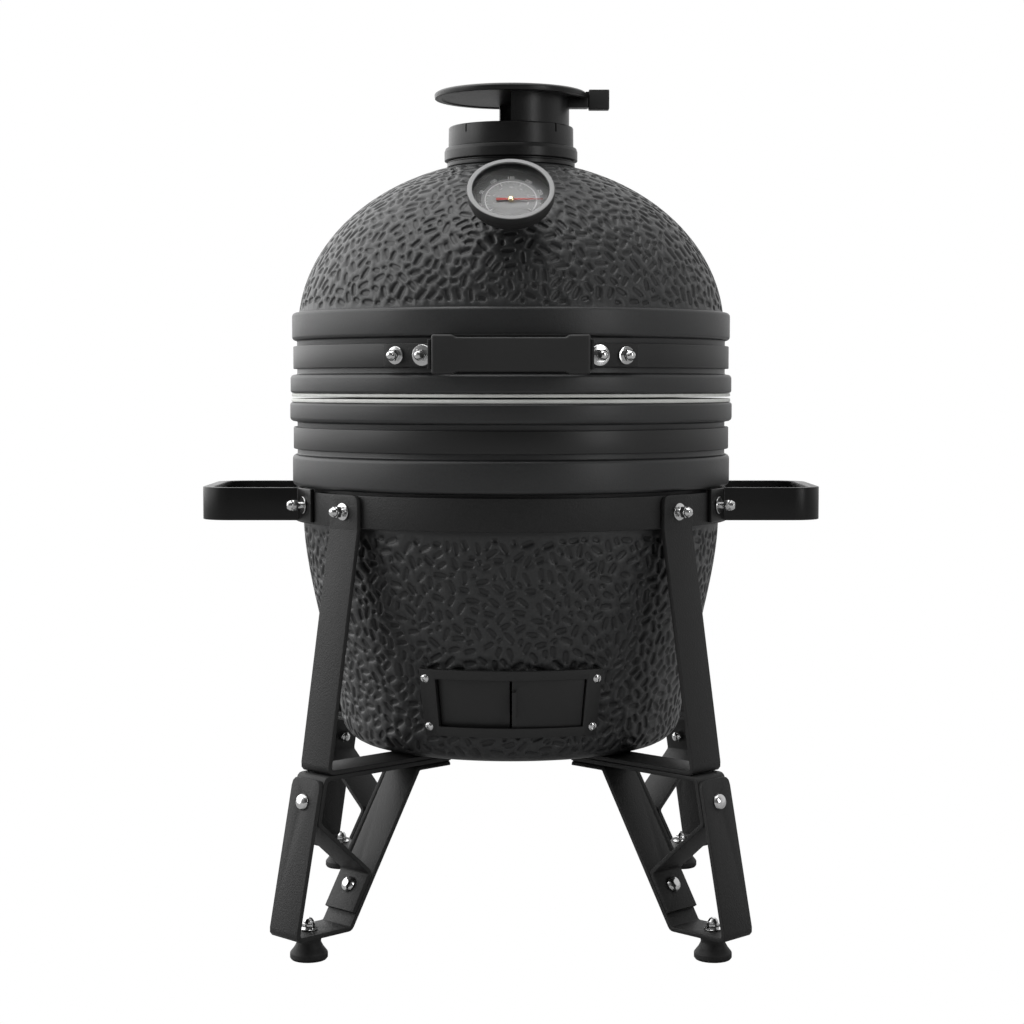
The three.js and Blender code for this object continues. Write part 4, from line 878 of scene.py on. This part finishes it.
# ---- Thermometer ----
# A bimetal dial thermometer stands on a nut through the dome. Its cup is black, its bezel is satin
# steel, and the printed dial sits under flat glass with a red needle on a brass hub.
GAUGE_TILT = 48.0
DIAL_MIDDLE = 27.3
DIAL_SUNK = 4.2
dial_low, dial_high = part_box("thermometer_dial")
gauge_axis = Vector((0, -math.sin(math.radians(GAUGE_TILT)), math.cos(math.radians(GAUGE_TILT))))
gauge_place = (Matrix.Translation((dial_low + dial_high) / 2 - gauge_axis * DIAL_MIDDLE * MM)
               @ Matrix.Rotation(math.radians(GAUGE_TILT), 4, "X"))
cup_black = finish("cup_black", grey(0.010), grey(0.018), (0.3, 0.42), 1200, 0.12, patch=12)
bezel_steel = finish("bezel_steel", grey(0.19), grey(0.24), (0.42, 0.5), 900, 0.1, metal=0.6, patch=50)
dial_face = finish("dial_face", grey(0.26), grey(0.34), (0.45, 0.55), 1600, 0.1, metal=0.2, patch=40)
# The tone of the dark crescent painted on the upper dial as shade.
dial_painted_shade = finish("dial_painted_shade", grey(0.055), grey(0.075), (0.4, 0.5), 1600, 0.1, patch=40)
print_white = finish("dial_print", grey(0.72), grey(0.82), (0.5, 0.6), 1600, 0.05, patch=60)
needle_red = finish("needle_red", (0.55, 0.02, 0.015), (0.68, 0.035, 0.025), (0.35, 0.45), 1600, 0.05,
                    patch=60)
brass = finish("hub_brass", (0.78, 0.60, 0.32), (0.88, 0.72, 0.45), (0.15, 0.25), 900, 0.05, metal=1.0,
               patch=80)


def on_gauge(piece, sunk=0.0):
    piece.data.transform(gauge_place @ Matrix.Translation((0, 0, -sunk * MM)))
    return smoothed(piece, 35)


cup = turned("thermometer_cup", rounded([
    (0, -62), (3, -62, 1.0), (3, 1), (9.6, 1, 0.8), (9.6, 17), (30.5, 17, 5.0), (37.7, 22, 3.0),
    (37.7, 35.0, 0.3), (36.2, 35.0, 0.3), (36.0, 26.5 - DIAL_SUNK),
    (0, 26.5 - DIAL_SUNK)], 4), 128, closed=False)
fitted(on_gauge(cup), cup_black, "gauge", "lid", "thermometer_case")
bezel = turned("thermometer_rim", rounded([
    (38.0, 28.0), (39.5, 28.0, 0.4), (39.5, 36.4, 0.3), (35.2, 36.4, 0.3), (34.9, 35.3),
    (38.0, 35.3)], 4), 128)
fitted(on_gauge(bezel), cup_black, "gauge", "lid", "thermometer_bezel")
trim = turned("thermometer_trim", rounded([
    (38.9, 36.3), (39.45, 36.5, 0.2), (39.3, 37.15, 0.5), (35.0, 37.15, 0.5), (34.6, 36.0),
    (34.6, 35.9)], 4), 128)
fitted(on_gauge(trim), bezel_steel, "gauge", "lid")
dial = turned("thermometer_plate", [(0, 26.8), (35.7, 26.8), (35.7, 27.8), (0, 27.8)], 128, closed=False)
fitted(on_gauge(dial, DIAL_SUNK), dial_face, "dial", "lid", "thermometer_dial")
# Painted shade: a dark crescent laid over the upper dial, where the bezel shades it.
shade_ring = swept("dial_shade", [(26.0, 27.82), (35.6, 27.82), (35.6, 27.9), (26.0, 27.9)], -8, 188, 48)
fitted(on_gauge(shade_ring, DIAL_SUNK), dial_painted_shade, "dial", "lid")

PRINT_LOW, PRINT_HIGH = 27.9, 28.0
LONG_MARK = (20.2, 0.7, 3.6)
SHORT_MARK = (20.9, 0.35, 1.6)
arc = swept("dial_arc", [(22.0, PRINT_LOW), (23.1, PRINT_LOW), (23.1, PRINT_HIGH), (22.0, PRINT_HIGH)],
            -35, 215, 80)
marks = [arc]
for k in range(26):
    out, wide, long = LONG_MARK if k % 5 == 0 else SHORT_MARK
    alone()
    bpy.ops.mesh.primitive_cube_add(size=1, location=(0, out * MM, 27.95 * MM))
    tick = bpy.context.object
    tick.scale = (wide * MM, long * MM, 0.1 * MM)
    bpy.ops.object.transform_apply(location=True, rotation=True, scale=True)
    tick.data.transform(Matrix.Rotation(math.radians(125 - 10 * k), 4, "Z"))
    marks.append(tick)
for k, reading in enumerate(("0", "50", "100", "150", "200", "250", "300")):
    turn = math.radians(105 - 35 * k)
    for size, radius in ((4.4, 27.3), (2.2, 15.4)):
        alone()
        bpy.ops.object.text_add()
        number = bpy.context.object
        number.data.body = reading
        number.data.size = size * MM
        number.data.align_x = "CENTER"
        number.data.align_y = "CENTER"
        number.data.extrude = 0.05 * MM
        number.data.offset = 0.06 * MM
        bpy.ops.object.convert(target="MESH")
        number = bpy.context.object
        outward = Matrix.Translation((0, radius * MM, 27.97 * MM))
        number.data.transform(Matrix.Rotation(turn, 4, "Z") @ outward)
        marks.append(number)
printing = joined("dial_printing", *marks)
fitted(on_gauge(printing, DIAL_SUNK), print_white, "dial", "lid")

NEEDLE_LONG, NEEDLE_TAIL, NEEDLE_Z = 41, 13, 29
alone()
bpy.ops.mesh.primitive_cylinder_add(
    vertices=4, radius=1.5 * MM, depth=NEEDLE_LONG * MM, location=(7.5 * MM, 0, NEEDLE_Z * MM),
    rotation=(0, math.pi / 2, 0))
pointer = bpy.context.object
pointer.name = "needle_pointer"
bpy.ops.object.transform_apply(location=True, rotation=True, scale=True)
for vertex in pointer.data.vertices:
    share = (vertex.co.x / MM + NEEDLE_TAIL) / NEEDLE_LONG
    vertex.co.y *= 1 - 0.75 * share
    vertex.co.z = NEEDLE_Z * MM + (vertex.co.z - NEEDLE_Z * MM) * 0.25
hub = turned("needle_hub", rounded([
    (0, 28.2), (3.0, 28.2), (3.0, 29.6, 0.5), (1.8, 30.6, 0.5), (0, 30.8)], 3), 40, closed=False)
fitted(on_gauge(pointer, DIAL_SUNK), needle_red, "needle", "needle", "thermometer_needle")
fitted(on_gauge(hub, DIAL_SUNK), brass, "needle", "needle", "thermometer_needle")

glass = bpy.data.materials.new("dial_glass")
glass.use_nodes = True
pane = glass.node_tree.nodes["Principled BSDF"]
pane.inputs["Base Color"].default_value = (1, 1, 1, 1)
pane.inputs["Transmission Weight"].default_value = 1.0
pane.inputs["IOR"].default_value = 1.13
smear = glass.node_tree.nodes.new("ShaderNodeTexNoise")
smear.inputs["Scale"].default_value = 60
smear_range = glass.node_tree.nodes.new("ShaderNodeMapRange")
smear_range.inputs["To Min"].default_value = 0.0
smear_range.inputs["To Max"].default_value = 0.05
glass.node_tree.links.new(smear.outputs["Fac"], smear_range.inputs["Value"])
glass.node_tree.links.new(smear_range.outputs[0], pane.inputs["Roughness"])
pane_piece = turned("thermometer_pane", rounded([
    (0, 33.6), (35.8, 33.6, 0.2), (35.8, 34.6, 0.2), (0, 34.6)], 2), 96, closed=False)
fitted(on_gauge(pane_piece), glass, "glass", "lid", "thermometer_glass")

# ---- Cap ----
# Cast iron under satin black paint. A base ring stands on the chimney, a notched scale ring sits on
# it, and the hood turns inside that ring. Hood and base each have a half-moon opening.
cap_black = finish("cap_black", grey(0.004), grey(0.008), (0.3, 0.44), 420, 0.25, patch=12, depth=0.0003,
                   shine=0.4)
cap_low, cap_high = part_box("vent_base")
cap_foot, cap_top, cap_r = cap_low.z / MM, cap_high.z / MM, cap_high.x / MM
PLATE_T = 4.0


def half_moon(low, high):
    """A tool for the opening on the left of the cap's plates."""
    return swept("moon", [(4, low), (CHIMNEY - 4.6, low), (CHIMNEY - 4.6, high), (4, high)], 99, 261, 40)


SCALE_FOOT_DROP = 6.4
SCALE_TOP_DROP = 3.6
FOOT_DROP = 1.2
base_ring = turned("cap_base", rounded([
    (CHIMNEY, cap_foot), (cap_r - 5.4, cap_foot), (cap_r - 5.4, cap_foot - FOOT_DROP),
    (cap_r - 2.6, cap_foot - FOOT_DROP, 0.8), (cap_r - 2.6, cap_foot + 3.2, 1.0),
    (cap_r - 4.0, cap_foot + 3.6), (cap_r - 4.0, cap_foot + 4.6),
    (cap_r, cap_foot + 5.2, 0.8), (cap_r, cap_foot + 14, 2.0), (cap_r - 1.2, cap_top - SCALE_FOOT_DROP, 0.8),
    (cap_r - 8, cap_top - SCALE_FOOT_DROP), (cap_r - 8, cap_top), (0, cap_top),
    (0, cap_top - PLATE_T), (CHIMNEY, cap_top - PLATE_T)], 4), 160)
carved(base_ring, half_moon(cap_top - PLATE_T - 1, cap_top + 1))
fitted(smoothed(base_ring, 30), cap_black, "cast", "lid", "vent_base")

scale_low, scale_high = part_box("vent_scale_ring")
scale_foot, scale_top = scale_low.z / MM - SCALE_FOOT_DROP, scale_high.z / MM - SCALE_TOP_DROP
scale_r = scale_high.x / MM
scale = turned("scale_ring", rounded([
    (scale_r - 3.9, scale_foot), (scale_r, scale_foot, 0.4), (scale_r - 0.3, scale_top, 1.6),
    (scale_r - 3.9, scale_top, 0.5)], 4), 160)
NOTCH_WIDE, NOTCH_DEEP = 1.7, 8.5
for bearing in (-135, -45, 45, 135):
    alone()
    bpy.ops.mesh.primitive_cube_add(size=1, location=(scale_r * MM, 0, (scale_top - NOTCH_DEEP / 2 + 1) * MM))
    notch = bpy.context.object
    notch.scale = (3.6 * MM, NOTCH_WIDE * MM, (NOTCH_DEEP + 2) * MM)
    bpy.ops.object.transform_apply(location=True, rotation=True, scale=True)
    notch.data.transform(Matrix.Rotation(math.radians(bearing), 4, "Z"))
    carved(scale, notch)
fitted(smoothed(scale, 30), cap_black, "cast", "lid", "vent_scale_ring")

hood_low, hood_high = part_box("vent_hood")
hood_foot, disc_top, disc_r = hood_low.z / MM, hood_high.z / MM, hood_high.y / MM
disc_foot = disc_top - 8
wall_r = 57.6
hood_floor = turned("hood_floor", rounded([
    (0, hood_foot), (wall_r, hood_foot, 0.4), (wall_r, hood_foot + PLATE_T, 0.6),
    (0, hood_foot + PLATE_T)], 3), 160, closed=False)
carved(hood_floor, half_moon(hood_foot - 1, hood_foot + PLATE_T + 1))
hood_wall = swept("hood_wall", rounded([
    (wall_r - 4, hood_foot + 2), (wall_r, hood_foot + 2), (wall_r, disc_foot + 1),
    (wall_r - 4, disc_foot + 1)], 1), -90, 102, 120)
hood_disc = turned("hood_disc", rounded([
    (0, disc_foot), (disc_r - 7, disc_foot, 0.6), (disc_r - 7, disc_foot - 1, 0.3),
    (disc_r - 0.6, disc_foot - 1, 0.6), (disc_r, disc_foot + 3.6, 1.6), (disc_r - 3, disc_foot + 5.6, 4.0),
    (0, disc_top)], 4), 160, closed=False)
LUG_WIDE, LUG_TALL = 16, 9.5
alone()
bpy.ops.mesh.primitive_cube_add(
    size=1, location=((disc_r + wall_r - 4) / 2 * MM, 0, (disc_foot - LUG_TALL / 2) * MM))
lug = bpy.context.object
lug.scale = ((disc_r - wall_r + 4) * MM, LUG_WIDE * MM, LUG_TALL * MM)
bpy.ops.object.transform_apply(location=True, rotation=True, scale=True)
bpy.ops.object.modifier_add(type="BEVEL")
lug.modifiers[0].width = 0.6 * MM
lug.modifiers[0].segments = 2
bpy.ops.object.modifier_apply(modifier=lug.modifiers[0].name)
hood = joined("hood_casting", hood_floor, hood_wall, hood_disc, lug)
fitted(smoothed(hood, 30), cap_black, "cast", "hood", "vent_hood")
knob_low, knob_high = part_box("vent_knob")
alone()
bpy.ops.mesh.primitive_cube_add(size=1, location=(knob_low.x, 0, (knob_low.z + knob_high.z) / 2))
spindle = bpy.context.object
spindle.name = "knob_spindle"
spindle.scale = (6 * MM, 12 * MM, (knob_high.z - knob_low.z) * 0.8)
bpy.ops.object.transform_apply(location=True, rotation=True, scale=True)
fitted(spindle, cap_black, "cast", "hood")
fitted(softened("vent_knob", 0.9, suffix="_block"), grip_black, "grip", "hood", "vent_knob")

# ---- Hinge ----
# Two bent brackets wrap the bands at the back, with their ears on one bright pin. A wound spring
# on the pin carries part of the lid's weight.
for part, body in (("hinge_lower_bracket", "base"), ("hinge_upper_bracket", "lid")):
    fitted(softened(part, 0.6), powder, "powder", body, part)
fitted(softened("hinge_pin", 0.7, suffix="_turned"), chrome, "bright", "base", "hinge_pin")
spring_low, spring_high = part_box("hinge_spring")
WIRE = 1.45
TURNS = 18
coil_r = (spring_high.z - spring_low.z) / 2 - WIRE * MM
coil_run = spring_high.x - spring_low.x - 2 * WIRE * MM
alone()
bpy.ops.mesh.primitive_circle_add(vertices=12, radius=WIRE * MM, fill_type="NGON",
                                  location=(spring_low.x + WIRE * MM, coil_r, 0))
spring = bpy.context.object
spring.name = "hinge_coil"
bpy.ops.object.transform_apply(location=True, rotation=True, scale=True)
bpy.ops.object.modifier_add(type="SCREW")
screw_way = spring.modifiers[0]
screw_way.axis = "X"
screw_way.screw_offset = coil_run / TURNS
screw_way.iterations = TURNS
screw_way.steps = 24
screw_way.render_steps = 24
screw_way.use_merge_vertices = False
bpy.ops.object.modifier_apply(modifier=screw_way.name)
spring_y, spring_z = (spring_low.y + spring_high.y) / 2, (spring_low.z + spring_high.z) / 2
spring.data.transform(Matrix.Translation((0, spring_y, spring_z)))
bpy.ops.object.mode_set(mode="EDIT")
bpy.ops.mesh.select_all(action="SELECT")
bpy.ops.mesh.remove_doubles(threshold=1e-6)
bpy.ops.mesh.normals_make_consistent(inside=False)
bpy.ops.object.mode_set(mode="OBJECT")
fitted(smoothed(spring, 60), chrome, "bright", "base", "hinge_spring")
